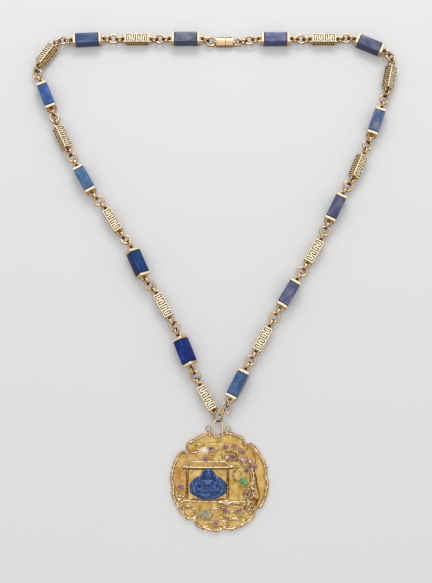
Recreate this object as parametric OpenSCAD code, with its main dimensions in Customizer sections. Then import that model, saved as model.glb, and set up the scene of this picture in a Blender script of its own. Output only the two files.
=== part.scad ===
// Long necklace of lapis bars and pierced gold links with a lobed scenic pendant.
// It lies flat on z = 0, with +Z up and +Y from the pendant towards the clasp.
// All sizes are in millimetres.

/* [Lapis bars] */
// Length of a lapis bar between its gold caps
stone_length = 15; // [14.8:0.1:15.2]
// Side of the square section of a lapis bar
stone_side = 7; // [6.6:0.1:7]
// Chamfer along the long edges of a lapis bar
stone_chamfer = 0.3; // [0.2:0.05:0.6]
// Diameter of the hole through a lapis bar
stone_hole = 1.8; // [1.7:0.1:2.4]
// Thickness of a gold end cap
cap_thickness = 1.85; // [1.7:0.05:1.9]
// Side of the square gold end cap
cap_side = 7.1; // [7:0.1:7.4]

/* [Pierced links] */
// Length of a pierced gold link
link_length = 15.6; // [15.4:0.1:15.8]
// Side of the square section of a pierced link
link_side = 5.8; // [5.4:0.1:6.2]
// Wall thickness of a pierced link
link_wall = 0.7; // [0.5:0.05:0.9]
// Width of the slots of the fret
slot_width = 0.75; // [0.6:0.05:0.85]

/* [Rings and loops] */
// Wire diameter of the jump rings
ring_wire = 1.1; // [1:0.05:1.15]
// Centreline radius of the large ring in the middle of each gap
large_ring = 3; // [2.95:0.05:3.05]
// Centreline radius of the small rings on both sides of it
small_ring = 2.45; // [2.4:0.05:2.5]
// Wire diameter of the loops on the bars and links
loop_wire = 1; // [0.9:0.05:1]
// Centreline radius of those loops
loop_radius = 1.75; // [1.7:0.05:1.9]
// Distance from an end face to the far centreline of its loop
loop_reach = 2.55; // [2.5:0.05:2.6]

/* [Clasp] */
// Length of the clasp box with its end block
clasp_length = 11.2; // [11:0.1:11.4]
// Width of the clasp box
clasp_width = 5; // [4.6:0.1:5.2]
// Height of the clasp box
clasp_height = 3.4; // [3.4:0.1:3.8]
// Wire diameter of the safety catch
catch_wire = 0.7; // [0.6:0.05:0.7]

/* [Pendant] */
// Outer radius of the medallion's lobes
medallion_radius = 30.1; // [29.6:0.1:30.4]
// Thickness of the medallion's plate
plate_thickness = 1.4; // [1.2:0.1:1.5]
// Height of the rim above the surface the medallion lies on
rim_height = 2.7; // [2.4:0.1:3]
// Width of the rim
rim_width = 1.9; // [1.6:0.1:2.2]
// Diameter of a round pink stone
pink_diameter = 2.2; // [2:0.1:2.2]

/* [Hidden] */
BARS = 12;
LINKS = 11;

function two_digits(i) = i < 10 ? str("0", i) : str(i);
function numbered(name, count) = [for (i = [1:count]) str(name, two_digits(i))];

$fn = 48;
gold = "#E6CB95";
rich_gold = "#D2A24C";
lapis = "#3F5690";
play = 0.06;
touch = 0.12;

// Middle of the necklace's bounding box in the layout's own frame
MIDDLE = [-0.82, 14.27];

// Where the pieces of the chain lie, in order round the loop: up the right side from
// the pendant to the clasp, then down the left side. Lapis bars and pierced links
// alternate, and both sides start with a bar.
X = 0;
Y = 1;
HEADING = 2;
ROLL = 3;
RIGHT_SIDE = [
    // x, y, heading, roll
    [13.3, -59.0, 62.3, -8],
    [28.8, -30.8, 61.3, 0],
    [45.4, -2.2, 59.0, 0],
    [62.0, 25.1, 60.3, 0],
    [76.3, 53.7, 63.6, 0],
    [91.5, 81.5, 66.9, 36],
    [104.3, 112.1, 69.9, 0],
    [114.2, 143.1, 78.1, 42],
    [101.9, 166.6, 155.6, 0],
    [71.8, 171.1, 180, 0],
    [39.5, 171.0, 180, 0],
];
LEFT_SIDE = [
    // x, y, heading, roll
    [-20.1, 171.2, 180, 0],
    [-52.6, 171.1, 180, 0],
    [-85.6, 170.5, 183.3, 0],
    [-112.2, 159.4, 235.5, 30],
    [-111.2, 130.4, 292.4, 0],
    [-99.6, 101.2, 295.4, -34],
    [-84.5, 72.9, 299.6, 0],
    [-65.8, 45.7, 301.2, 0],
    [-49.2, 17.3, 293.9, -30],
    [-33.0, -9.6, 298.7, 0],
    [-19.1, -38.6, 292.1, 40],
    [-5.6, -67.0, 298.7, 0],
];
CLASP = [5.7, 169.2];

// Geometry helpers

function is_stone(k) = k % 2 == 0;
function side_of(k) = is_stone(k) ? cap_side : link_side;
function half_length(k) = is_stone(k) ? stone_length / 2 + play + cap_thickness : link_length / 2;
function lift(side, roll) = side / 2 * (cos(abs(roll)) + sin(abs(roll)));
function along(heading) = [cos(heading), sin(heading), 0];
function centre(row, k) = [row[X], row[Y], lift(side_of(k), row[ROLL])];
function front_end(rows, k) = centre(rows[k], k) + half_length(k) * along(rows[k][HEADING]);
function back_end(rows, k) = centre(rows[k], k) - half_length(k) * along(rows[k][HEADING]);
function mix(a, b, t) = a + (b - a) * t;
function total(values, k = 0) = k < len(values) ? values[k] + total(values, k + 1) : 0;

// Puts a child, drawn along +X round the origin, where a row of the layout says
module lay(row, k) {
    translate([row[X] - MIDDLE[X], row[Y] - MIDDLE[Y], lift(side_of(k), row[ROLL])])
        rotate([row[ROLL], 0, row[HEADING]]) children();
}

module from_layout() {
    translate([-MIDDLE[X], -MIDDLE[Y], 0]) children();
}

module torus(radius, wire) {
    rotate_extrude() translate([radius, 0]) circle(d = wire);
}

// Square bar along X with chamfered long edges
module square_bar(length, side, chamfer) {
    half = side / 2;
    inner = half - chamfer;
    rotate([90, 0, 90]) translate([0, 0, -length / 2]) linear_extrude(length)
        polygon([[half, -inner], [half, inner], [inner, half], [-inner, half],
                 [-half, inner], [-half, -inner], [-inner, -half], [inner, -half]]);
}

// Wire loop soldered to an end face at x = 0, standing out along +X in the XY plane
module end_loop(reach, radius, wire) {
    straight = reach - radius;
    root = 0.4;
    for (side = [-1, 1])
        translate([-root, side * radius, 0]) rotate([0, 90, 0]) cylinder(d = wire, h = straight + root);
    translate([straight, 0, 0]) rotate([0, 0, -90]) rotate_extrude(angle = 180)
        translate([radius, 0]) circle(d = wire);
}

module both_ends(half) {
    for (turn = [0, 180]) rotate([0, 0, turn]) translate([half, 0, 0]) children();
}

// Lapis bars and their mounts

module lapis_bar_shape() {
    difference() {
        square_bar(stone_length, stone_side, stone_chamfer);
        rotate([0, 90, 0]) cylinder(d = stone_hole, h = stone_length + 2, center = true);
    }
}

module bar_mount_shape() {
    pin_gap = 0.1;
    pin_length = stone_length + cap_thickness;
    cap_chamfer = 0.35;
    rotate([0, 90, 0]) cylinder(d = stone_hole - 2 * pin_gap, h = pin_length, center = true);
    both_ends(stone_length / 2 + play + cap_thickness / 2)
        square_bar(cap_thickness, cap_side, cap_chamfer);
    both_ends(half_length(0)) end_loop(loop_reach, loop_radius, loop_wire);
}

// Pierced links

// One key of the fret: a square spiral slot, drawn in the XY plane
KEY_PATH = [[-2.9, 1.6], [2.2, 1.6], [2.2, -1.6], [-1.5, -1.6], [-1.5, 0], [0.4, 0]];

module slot_along(path) {
    for (i = [0:len(path) - 2]) {
        low = [min(path[i][X], path[i + 1][X]), min(path[i][Y], path[i + 1][Y])];
        size = [abs(path[i + 1][X] - path[i][X]), abs(path[i + 1][Y] - path[i][Y])];
        translate(low - [slot_width, slot_width] / 2) square(size + [slot_width, slot_width]);
    }
}

module fret_cutter() {
    key_spacing = 3.5;
    for (turn = [0, 180])
        rotate([0, 0, turn]) translate([key_spacing, 0, 0])
            linear_extrude(link_side + 2, center = true) slot_along(KEY_PATH);
}

module pierced_link_shape() {
    end_plate = 0.9;
    link_chamfer = 0.25;
    difference() {
        square_bar(link_length, link_side, link_chamfer);
        cube([link_length - 2 * end_plate, link_side - 2 * link_wall, link_side - 2 * link_wall],
             center = true);
        fret_cutter();
        rotate([90, 0, 0]) fret_cutter();
    }
    both_ends(link_length / 2) end_loop(loop_reach, loop_radius, loop_wire);
}

// Jump rings

// Distance that two linked wires of these diameters keep between their centrelines
function hook(wire_a, wire_b) = (wire_a + wire_b) / 2 + touch;
loop_inset = loop_reach - hook(loop_wire, ring_wire);

// Path from one end of the chain to the next, as points along a smooth curve
PATH_STEPS = 32;
function curve_point(c, t) =
    pow(1 - t, 3) * c[0] + 3 * t * pow(1 - t, 2) * c[1] + 3 * t * t * (1 - t) * c[2] + pow(t, 3) * c[3];
function path_between(from, from_heading, to, to_heading) =
    let (reach = 0.45 * norm(to - from),
         c = [from, from + reach * along(from_heading), to - reach * along(to_heading), to])
    [for (k = [0:PATH_STEPS]) curve_point(c, k / PATH_STEPS)];
function path_length(path) = total([for (k = [1:len(path) - 1]) norm(path[k] - path[k - 1])]);

// Point and direction at a distance s along a path
function at_distance(path, s, k = 0) =
    let (step = path[k + 1] - path[k], size = norm(step))
    (s <= size || k == len(path) - 2) ? [path[k] + step * s / size, step / size]
        : at_distance(path, s - size, k + 1);

// Distances of the ring middles when the rings are pulled tight
function tight_places(rings, inset, k = 0, last = 0) =
    k == len(rings) ? []
        : let (here = k == 0 ? inset + rings[0][0]
                   : last + rings[k - 1][0] + rings[k][0] - hook(ring_wire, ring_wire))
          concat([here], tight_places(rings, inset, k + 1, here));

// Rings strung along a gap. Each row of rings is [radius, upright], and each row of
// the result is [middle, heading, climb, roll, radius, upright]. What the gap is
// shorter than the tight string is shared out over the joints. A flat ring leans
// from the height of what it hangs in before it to that of what comes after it.
function string_rings(path, roll_a, roll_b, rings, inset_a, inset_b) =
    let (count = len(rings),
         size = path_length(path),
         places = tight_places(rings, inset_a),
         slack = places[count - 1] + rings[count - 1][0] + inset_b - size,
         travel = [for (k = [0:count - 1]) places[k] - slack * (0.225 + 0.55 * k / (count - 1))],
         spots = [for (s = travel) at_distance(path, s)],
         heights = [for (k = [0:count - 1])
             max(spots[k][0][2], rings[k][1] ? rings[k][0] + ring_wire / 2 : 0)])
    [for (k = [0:count - 1])
        let (before = k == 0 ? path[0][2] : heights[k - 1],
             after = k == count - 1 ? path[PATH_STEPS][2] : heights[k + 1],
             height = rings[k][1] ? heights[k] : (before + after) / 2,
             climb = rings[k][1] ? 0 : atan2(after - before, 2 * rings[k][0]))
        [[spots[k][0][0], spots[k][0][1], height], atan2(spots[k][1][1], spots[k][1][0]), climb,
         mix(roll_a, roll_b, travel[k] / size), rings[k][0], rings[k][1]]];

GAP_RINGS = [[small_ring, true], [large_ring, false], [small_ring, true]];

// Rings between piece k and the next one on the same side
function gap_rings(rows, k) =
    string_rings(path_between(front_end(rows, k), rows[k][HEADING],
                              back_end(rows, k + 1), rows[k + 1][HEADING]),
                 rows[k][ROLL], rows[k + 1][ROLL], GAP_RINGS, loop_inset, loop_inset);

function side_rings(rows) = [for (k = [0:len(rows) - 2]) each gap_rings(rows, k)];

// Rings between the last bar of the right side and the clasp's tongue, and between
// the clasp's box and the first bar of the left side
eye_reach = 2;
eye_radius = 1.15;
eye_wire = 0.9;
eye_inset = eye_reach - hook(eye_wire, ring_wire);
TONGUE_RINGS = [[small_ring, true], [large_ring, false], [small_ring, true], [small_ring, false]];
BOX_RINGS = [[large_ring, false], [small_ring, true]];

function tongue_rings() =
    let (last = len(RIGHT_SIDE) - 1,
         to = [CLASP[X] + clasp_length / 2, CLASP[Y], clasp_height / 2])
    string_rings(path_between(front_end(RIGHT_SIDE, last), 180, to, 180),
                 0, 0, TONGUE_RINGS, loop_inset, eye_inset);

function box_rings() =
    let (from = [CLASP[X] - clasp_length / 2, CLASP[Y], clasp_height / 2])
    string_rings(path_between(from, 180, back_end(LEFT_SIDE, 0), 180),
                 0, 0, BOX_RINGS, eye_inset, loop_inset);

// Lays one ring of a string. A flat ring lies in the plane of its path's direction
// and the horizontal across it, and an upright one stands on edge along the path.
module string_ring(row) {
    translate(row[0]) rotate([0, -row[2], row[1]]) rotate([row[3] + (row[5] ? 90 : 0), 0, 0])
        torus(row[4], ring_wire);
}

// The rings over the pendant: the large ring that carries it, and from that ring the
// three up to the first bar of the right side. The lean is from lying flat, towards
// the direction of the last angle.
PENDANT_RINGS = [
    // middle, lean, direction of the lean, radius, wire
    [[0.8, -77.7, 3.45], 47, 207, 3.85, 1.2],
    [[3.7, -76.1, 5.4], 90, 135, 2.45, 1.1],
    [[6.0, -73.6, 3.8], 15, 0, 3.0, 1.1],
    [[7.5, -70.5, 3.2], 90, 155, 2.45, 1.1],
];

module pendant_ring(row) {
    translate(row[0]) rotate([0, row[1], row[2]]) torus(row[3], row[4]);
}

// Clasp

tongue_block = 5;
box_length = clasp_length - tongue_block - play;
catch_radius = 1.5;
catch_height = 2;
catch_reach = 5.6;
catch_from_end = 3.1;
catch_x = catch_from_end - clasp_length / 2;
catch_y = clasp_width / 2 + 0.7;
hinge_x = catch_x - catch_radius + 0.03;
cavity = [4.6, 3.6, 1.8];

// Short tube, open along Z, that the end of the safety catch turns in
module catch_barrel() {
    outer = 0.76;
    inner = 0.45;
    length = 0.9;
    difference() {
        cylinder(r = outer, h = length, center = true);
        cylinder(r = inner, h = length + 1, center = true);
    }
}

// Knob on the side wall that the safety catch closes over
module catch_knob() {
    root = 0.3;
    post = catch_y - clasp_width / 2 + catch_wire / 2 + 0.1;
    rotate([-90, 0, 0]) {
        translate([0, 0, -root]) cylinder(r = 0.85, h = post + root);
        translate([0, 0, post]) cylinder(r = 1.1, h = 0.4);
    }
}

module clasp_eye() {
    rotate([90, 0, 0]) end_loop(eye_reach, eye_radius, eye_wire);
}

module clasp_box_shape() {
    left = -clasp_length / 2;
    difference() {
        translate([left, -clasp_width / 2, 0]) cube([box_length, clasp_width, clasp_height]);
        translate([left + box_length - cavity[0], -cavity[1] / 2, (clasp_height - cavity[2]) / 2])
            cube([cavity[0] + 1, cavity[1], cavity[2]]);
    }
    translate([hinge_x, catch_y, catch_height]) catch_barrel();
    translate([left, 0, clasp_height / 2]) rotate([0, 0, 180]) clasp_eye();
}

module clasp_tongue_shape() {
    right = clasp_length / 2;
    leaf = [4, 3, 1.2];
    translate([right - tongue_block, -clasp_width / 2, 0])
        cube([tongue_block, clasp_width, clasp_height]);
    translate([right - tongue_block - leaf[0], -leaf[1] / 2, (clasp_height - leaf[2]) / 2])
        cube([leaf[0] + 0.5, leaf[1], leaf[2]]);
    translate([catch_x + catch_reach, clasp_width / 2, catch_height]) catch_knob();
    translate([right, 0, clasp_height / 2]) clasp_eye();
}

// Figure of eight in wire: two open loops joined by two straight wires that cross
module safety_catch_shape() {
    lean = asin(catch_radius / (catch_reach / 2));
    open_half = 90 - lean;
    straight = 2 * sqrt(pow(catch_reach / 2, 2) - pow(catch_radius, 2));
    for (turn = [0, 180])
        translate([catch_reach / 2, 0, 0]) rotate([0, 0, turn]) translate([-catch_reach / 2, 0, 0])
            rotate([0, 0, open_half]) rotate_extrude(angle = 360 - 2 * open_half)
                translate([catch_radius, 0]) circle(d = catch_wire);
    for (tilt = [-lean, lean])
        translate([catch_reach / 2, 0, 0]) rotate([0, 0, tilt]) rotate([0, 90, 0])
            cylinder(d = catch_wire, h = straight, center = true);
}

module at_clasp() {
    from_layout() translate([CLASP[X], CLASP[Y], 0]) children();
}

// Medallion, drawn round its own middle with its back on z = 0

MEDALLION = [2.1, -116.8];
OUTLINE_POINTS = 120;

// Notches between the lobes
NOTCHES = [
    // angle, depth, half width
    [6, 1.0, 5],
    [55, 2.6, 4],
    [93, 2.6, 7],
    [138.5, 2.6, 4],
    [186, 1.0, 6],
    [236, 2.2, 4.5],
    [275, 1.4, 5],
    [322, 2.6, 4.5],
];
function turn_between(a, b) = abs((a - b + 540) % 360 - 180);
function lobed(a) =
    medallion_radius - total([for (n = NOTCHES) n[1] * exp(-pow(turn_between(a, n[0]) / n[2], 2))]);
function lobed_outline(inset) =
    [for (k = [0:OUTLINE_POINTS - 1]) let (a = 360 * k / OUTLINE_POINTS)
        (lobed(a) - inset) * [cos(a), sin(a)]];

// Outline of a band that follows a spine of rows [x, y, half width]
function spine_side(spine, sign) =
    [for (i = [0:len(spine) - 1])
        let (a = spine[max(i - 1, 0)], b = spine[min(i + 1, len(spine) - 1)],
             d = [b[0] - a[0], b[1] - a[1]] / norm([b[0] - a[0], b[1] - a[1]]))
        [spine[i][0], spine[i][1]] + sign * spine[i][2] * [-d[1], d[0]]];
function band(spine) =
    let (left = spine_side(spine, 1), right = spine_side(spine, -1), last = len(spine) - 1)
    concat(left, [for (i = [0:last]) right[last - i]]);

module raised(height) {
    translate([0, 0, plate_thickness - 0.2]) linear_extrude(height + 0.2) children();
}

// Arc shaped band from angle a to angle b, thin at both ends
module brush_stroke(x, y, radius, a, b, width) {
    steps = 8;
    translate([x, y]) polygon(band([for (k = [0:steps])
        let (t = mix(a, b, k / steps))
        [radius * cos(t), radius * sin(t), width / 2 * (0.25 + 0.75 * sin(180 * k / steps))]]));
}

// Settings of the pink stones
PINK_STONES = [
    [-5.1, 18.9], [-8.4, 12.8], [-23.4, -3.8], [3.7, 20.3], [9.1, 20.3], [14.0, 17.3],
    [4.4, 14.1], [8.2, 14.1], [13.9, 12.6], [18.5, 11.7], [21.0, 8.4], [16.4, 6.3],
    [16.7, -8.0], [3.4, -17.1], [11.6, -17.2], [-2.3, -24.6],
];
setting_wall = 0.4;
setting_gap = 0.1;
setting_top = 3.1;
OPAL = [-9.5, 17.8];
OPAL_SIZE = [5.4, 4.1, 2.6];
BEAD = [14.4, -0.4];
bead_diameter = 5.2;
bead_bore = 1.1;
bead_height = 4.5;
JADE = [-8.6, -19.8];
JADE_SIZE = [10.8, 7.2];
JADE_TURN = -14;
FIGURE = [-6.8, -11];
bail_wire = 1.2;
bail_radius = 2.7;
BAIL = [-0.7, 34.3];
bail_height = 2.5;

module pink_setting() {
    outer = pink_diameter / 2 + setting_gap + setting_wall;
    difference() {
        translate([0, 0, 1]) cylinder(r = outer, h = setting_top - 1);
        translate([0, 0, plate_thickness]) cylinder(r = outer - setting_wall, h = 3);
    }
}

function ellipse(size, grow) =
    [for (k = [0:39]) [(size[0] / 2 + grow) * cos(9 * k), (size[1] / 2 + grow) * sin(9 * k)]];

module oval_setting(size, wall, height) {
    raised(height) difference() {
        polygon(ellipse(size, setting_gap + wall));
        polygon(ellipse(size, setting_gap));
    }
}

module pavilion() {
    raised(1.6) polygon([[-22.6, 8.0], [-20.6, 8.4], [-18.4, 9.6], [-16.6, 11.6], [-15.2, 11.1],
        [2.0, 11.1], [3.2, 11.6], [5.0, 9.8], [6.4, 8.8], [8.2, 8.4], [5.6, 7.5], [-20.4, 7.5]]);
    for (x = [-19.5, 5.0]) raised(1.3) translate([x - 0.55, -10.2]) square([1.1, 18]);
    raised(1.0) translate([-21.2, -12.4]) square([27.8, 1.1]);
}

module tree() {
    raised(1.7) polygon(band([[18.9, -16.0, 2.0], [19.9, -13.4, 1.5], [20.5, -10.4, 1.1],
        [20.0, -7.2, 1.0], [20.4, -3.8, 1.1], [19.9, -0.6, 0.9], [20.4, 3.0, 0.9],
        [20.0, 6.4, 0.8], [18.6, 8.8, 0.6]]));
    raised(1.4) polygon(band([[20.2, -5.4, 0.8], [18.2, -4.2, 0.6], [16.8, -6.4, 0.5]]));
    raised(1.4) polygon(band([[19.4, -12.8, 0.9], [16.2, -11.4, 0.6], [14.6, -8.6, 0.5],
        [15.0, -5.4, 0.4]]));
    raised(1.4) polygon(band([[19.4, 8.0, 0.6], [16.0, 9.4, 0.5], [11.2, 12.0, 0.5],
        [9.6, 17.2, 0.4], [6.4, 17.4, 0.4], [3.8, 17.2, 0.3]]));
    raised(1.2) polygon(band([[7.4, 7.4, 0.5], [6.8, 5.0, 0.5], [7.6, 2.4, 0.5], [10.4, 0.6, 0.4]]));
}

module waves() {
    raised(1.0) {
        brush_stroke(-2.6, -22.0, 6.0, 55, 125, 1.0);
        brush_stroke(4.4, -8.0, 5.2, 235, 305, 1.0);
        brush_stroke(10.4, -17.6, 5.2, 55, 125, 1.0);
        brush_stroke(8.6, -28.4, 6.4, 55, 125, 1.1);
        brush_stroke(16.4, -24.6, 5.2, 60, 130, 1.0);
        brush_stroke(-19.0, -19.6, 5.0, 60, 120, 1.3);
        brush_stroke(-15.2, -11.2, 5.0, 240, 300, 0.9);
        brush_stroke(7.8, -21.8, 4.2, 70, 120, 0.9);
    }
}

module bird() {
    raised(1.1) {
        brush_stroke(-12.6, 15.2, 6.6, 60, 110, 1.1);
        brush_stroke(-15.4, 22.4, 5.6, 240, 300, 1.0);
        brush_stroke(-5.6, 16.6, 3.2, 0, 50, 0.9);
        brush_stroke(-3.6, 18.0, 3.0, 200, 260, 0.8);
    }
}

module nuggets() {
    for (row = [[-24.2, -8.8, 1.2], [-22.2, -10.4, 1.4], [-24.6, -11.4, 1.0], [-20.6, -12.6, 1.0],
                [19.6, -0.9, 1.3], [18.2, -14.6, 1.5]])
        translate([row[0], row[1], plate_thickness + 0.2]) sphere(r = row[2]);
}

module bail() {
    root = 26.4;
    leg = BAIL[Y] - root;
    scroll_radius = 1.5;
    scroll_wire = 0.9;
    scroll_leg = 4;
    translate([BAIL[0], BAIL[1], bail_height]) {
        rotate_extrude(angle = 180) translate([bail_radius, 0]) circle(d = bail_wire);
        for (side = [-1, 1])
            translate([side * bail_radius, 0, 0]) rotate([90, 0, 0]) cylinder(d = bail_wire, h = leg);
    }
    for (side = [-1, 1])
        translate([BAIL[0] + side * 6, BAIL[1] - 2.9, bail_height - 0.4]) {
            rotate([0, 0, side > 0 ? -60 : 0]) rotate_extrude(angle = 240)
                translate([scroll_radius, 0]) circle(d = scroll_wire);
            translate([-side * scroll_radius, 0, 0]) rotate([90, 0, 0])
                cylinder(d = scroll_wire, h = scroll_leg);
        }
}

// Pin of the green bead with a collar below the bead and a small head above it
module bead_pin() {
    root = 1;
    top = bead_height + bead_diameter / 2 + 0.1;
    head = 0.35;
    translate([BEAD[X], BEAD[Y], root]) {
        cylinder(d = bead_bore - 0.2, h = top - root + 0.1);
        cylinder(d = 2.4, h = 0.7);
        translate([0, 0, top - root]) cylinder(d = 1.6, h = head);
    }
}

// Lobed plate with its rim, whose edges step in below the top
module rimmed_plate() {
    shoulder = 0.5;
    step = 0.45;
    difference() {
        linear_extrude(rim_height - shoulder) polygon(lobed_outline(0));
        translate([0, 0, plate_thickness]) linear_extrude(rim_height) polygon(lobed_outline(rim_width));
    }
    difference() {
        translate([0, 0, 1]) linear_extrude(rim_height - 1) polygon(lobed_outline(step));
        linear_extrude(rim_height + 1) polygon(lobed_outline(rim_width - step));
    }
}

module medallion_shape() {
    rimmed_plate();
    raised(0.5) polygon(band([[21.2, 20.4, 0.2], [24.2, 15.0, 1.6], [26.0, 7.6, 2.2],
        [26.2, -1.0, 2.4], [25.4, -8.4, 2.0], [22.6, -15.2, 0.4]]));
    for (stone = PINK_STONES) translate(stone) pink_setting();
    translate(OPAL) oval_setting(OPAL_SIZE, 0.4, 0.9);
    translate(JADE) rotate([0, 0, JADE_TURN]) oval_setting(JADE_SIZE, 0.4, 0.6);
    bead_pin();
    pavilion();
    tree();
    waves();
    bird();
    nuggets();
    bail();
}

// Seated figure in a hooded robe with wide sleeves, drawn round the middle of its base.
// Each row of a limb is [x, y, z, radius].
seat_gap = 0.1;

module limb(rows) {
    hull() for (r = rows) translate([r[0], r[1], r[2]]) sphere(r = r[3], $fn = 20);
}

module figure_shape() {
    limb([[-3.0, 4.0, 0.4, 3.4], [3.0, 4.0, 0.4, 3.4], [0, 10.6, 0.6, 3.2]]);
    for (side = [-1, 1]) scale([side, 1, 1]) {
        limb([[7.6, 4.4, 0.2, 2.6], [2.4, 2.4, 0.6, 2.3]]);
        limb([[4.4, 11.2, 0.5, 2.3], [7.4, 10.0, 0.2, 2.7], [8.7, 7.4, 0.2, 2.5]]);
        limb([[8.7, 7.4, 0.2, 2.5], [9.0, 5.6, 0.1, 2.1], [7.0, 4.0, 0.4, 2.0]]);
        limb([[7.0, 8.0, 1.4, 1.6], [2.8, 5.4, 2.6, 1.2]]);
        limb([[1.9, 9.4, 1.8, 1.7], [2.4, 8.8, 1.6, 1.6]]);
        limb([[3.9, 13.4, 0.6, 1.0], [1.2, 8.0, 2.4, 0.7]]);
        limb([[3.6, 13.2, 0.6, 1.7], [2.2, 15.6, 0.8, 1.6], [0.2, 17.2, 0.8, 1.1]]);
        limb([[0.9, 5.3, 3.2, 0.9], [2.2, 5.1, 3.1, 0.8]]);
    }
    limb([[0, 6.4, 1.6, 2.5]]);
    limb([[0, 14.7, 1.2, 2.5], [0, 13.6, 1.3, 2.2]]);
    limb([[0, 16.4, 0.9, 1.6]]);
}

module seated_figure_shape() {
    intersection() {
        translate([0, 0, 0.9]) figure_shape();
        translate([-15, -1, 0]) cube([30, 22, 10]);
    }
}

module pink_stone() {
    radius = pink_diameter / 2;
    facets = 10;
    translate([0, 0, 0.1]) cylinder(r1 = 0.1, r2 = radius, h = 0.8, $fn = facets);
    translate([0, 0, 0.9]) cylinder(r = radius, h = 0.15, $fn = facets);
    translate([0, 0, 1.05]) cylinder(r1 = radius, r2 = 0.6 * radius, h = 0.45, $fn = facets);
}

// Flat jade piece carved with rounded petals round a middle boss
module jade_carving_shape() {
    petals = 6;
    intersection() {
        union() {
            for (k = [0:petals - 1])
                let (a = 360 * k / petals + 15)
                translate([3.1 * cos(a), 1.5 * sin(a), 0.2]) scale([2.1, 1.7, 1.6])
                    sphere(r = 1, $fn = 16);
            translate([0, 0, 0.3]) scale([2.4, 1.7, 2.0]) sphere(r = 1, $fn = 16);
        }
        linear_extrude(4) polygon(ellipse(JADE_SIZE, -0.05));
    }
}

module on_plate(place, height) {
    from_layout()
        translate([MEDALLION[X] + place[0], MEDALLION[Y] + place[1], plate_thickness + height])
            children();
}

// Row and place in the loop of bar i and link i, counted from 1 at the pendant's right
right_bars = 6;
right_links = 5;
function bar_row(i) = i <= right_bars ? RIGHT_SIDE[2 * i - 2] : LEFT_SIDE[2 * (i - right_bars) - 2];
function link_row(i) = i <= right_links ? RIGHT_SIDE[2 * i - 1] : LEFT_SIDE[2 * (i - right_links) - 1];

// One module per piece

module lapis_bar(i) { color(lapis) lay(bar_row(i), 0) lapis_bar_shape(); }

module bar_mount(i) { color(gold) lay(bar_row(i), 0) bar_mount_shape(); }

module pierced_link(i) { color(gold) lay(link_row(i), 1) pierced_link_shape(); }

module jump_rings_right() {
    color(gold) from_layout() for (row = concat(side_rings(RIGHT_SIDE), tongue_rings())) string_ring(row);
}

module jump_rings_left() {
    color(gold) from_layout() for (row = concat(box_rings(), side_rings(LEFT_SIDE))) string_ring(row);
}

module clasp_box() { color(gold) at_clasp() clasp_box_shape(); }

module clasp_tongue() { color(gold) at_clasp() clasp_tongue_shape(); }

module safety_catch() {
    color(gold) at_clasp() translate([catch_x, catch_y, catch_height]) rotate([90, 0, 0])
        safety_catch_shape();
}

module pendant_rings() { color(gold) from_layout() for (row = PENDANT_RINGS) pendant_ring(row); }

module medallion() {
    color(rich_gold) from_layout() translate([MEDALLION[X], MEDALLION[Y], 0]) medallion_shape();
}

module seated_figure() { color("#1F4390") on_plate(FIGURE, seat_gap) seated_figure_shape(); }

module opal() {
    color("#F2EFEA") on_plate(OPAL, seat_gap) intersection() {
        scale([OPAL_SIZE[0] / 2, OPAL_SIZE[1] / 2, OPAL_SIZE[2]]) sphere(r = 1, $fn = 32);
        translate([-5, -5, 0]) cube([10, 10, 5]);
    }
}

module green_bead() {
    color("#3FAE66") on_plate(BEAD, bead_height - plate_thickness) difference() {
        sphere(d = bead_diameter);
        cylinder(d = bead_bore, h = bead_diameter + 2, center = true);
    }
}

module jade_carving() {
    color("#9FA98A") on_plate(JADE, seat_gap) rotate([0, 0, JADE_TURN]) jade_carving_shape();
}

module pink_stones() { color("#C06FA0") for (place = PINK_STONES) on_plate(place, 0.35) pink_stone(); }

for (i = [1:BARS]) lapis_bar(i);
for (i = [1:BARS]) bar_mount(i);
for (i = [1:LINKS]) pierced_link(i);
jump_rings_right();
jump_rings_left();
clasp_box();
clasp_tongue();
safety_catch();
pendant_rings();
medallion();
seated_figure();
opal();
green_bead();
jade_carving();
pink_stones();
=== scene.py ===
"""Long necklace of lapis bars and pierced gold links with a lobed scenic pendant.

Tables and shape functions are in millimetres, in the layout's own frame; pieces are
placed in metres in the frame of the loaded model.
"""

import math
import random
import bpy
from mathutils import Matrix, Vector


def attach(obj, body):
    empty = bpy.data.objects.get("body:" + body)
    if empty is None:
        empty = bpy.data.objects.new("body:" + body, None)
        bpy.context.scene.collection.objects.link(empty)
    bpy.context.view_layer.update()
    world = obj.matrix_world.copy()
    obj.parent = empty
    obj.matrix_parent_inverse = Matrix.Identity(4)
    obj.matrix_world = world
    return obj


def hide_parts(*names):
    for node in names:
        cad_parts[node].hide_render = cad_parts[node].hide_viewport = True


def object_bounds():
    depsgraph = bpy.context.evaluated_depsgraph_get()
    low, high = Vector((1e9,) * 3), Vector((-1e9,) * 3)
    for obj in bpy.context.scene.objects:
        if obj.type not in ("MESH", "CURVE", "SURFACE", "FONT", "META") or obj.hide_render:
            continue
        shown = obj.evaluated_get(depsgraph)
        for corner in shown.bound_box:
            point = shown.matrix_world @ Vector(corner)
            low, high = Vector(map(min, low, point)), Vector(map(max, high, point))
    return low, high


bl_info = {
    "name": "Lapis sautoir with scenic pendant",
    "version": (1, 0, 0),
    "blender": (4, 5, 0),
    "location": "View3D > Sidebar > Sautoir",
    "description": "Builds the bars, links, rings, clasp and pendant of a long necklace",
    "category": "Object",
}

import bmesh
import bpy
import numpy as np
from bpy.props import FloatProperty, PointerProperty, StringProperty
from bpy.types import Operator, Panel, PropertyGroup
from mathutils import Matrix, Vector

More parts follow.
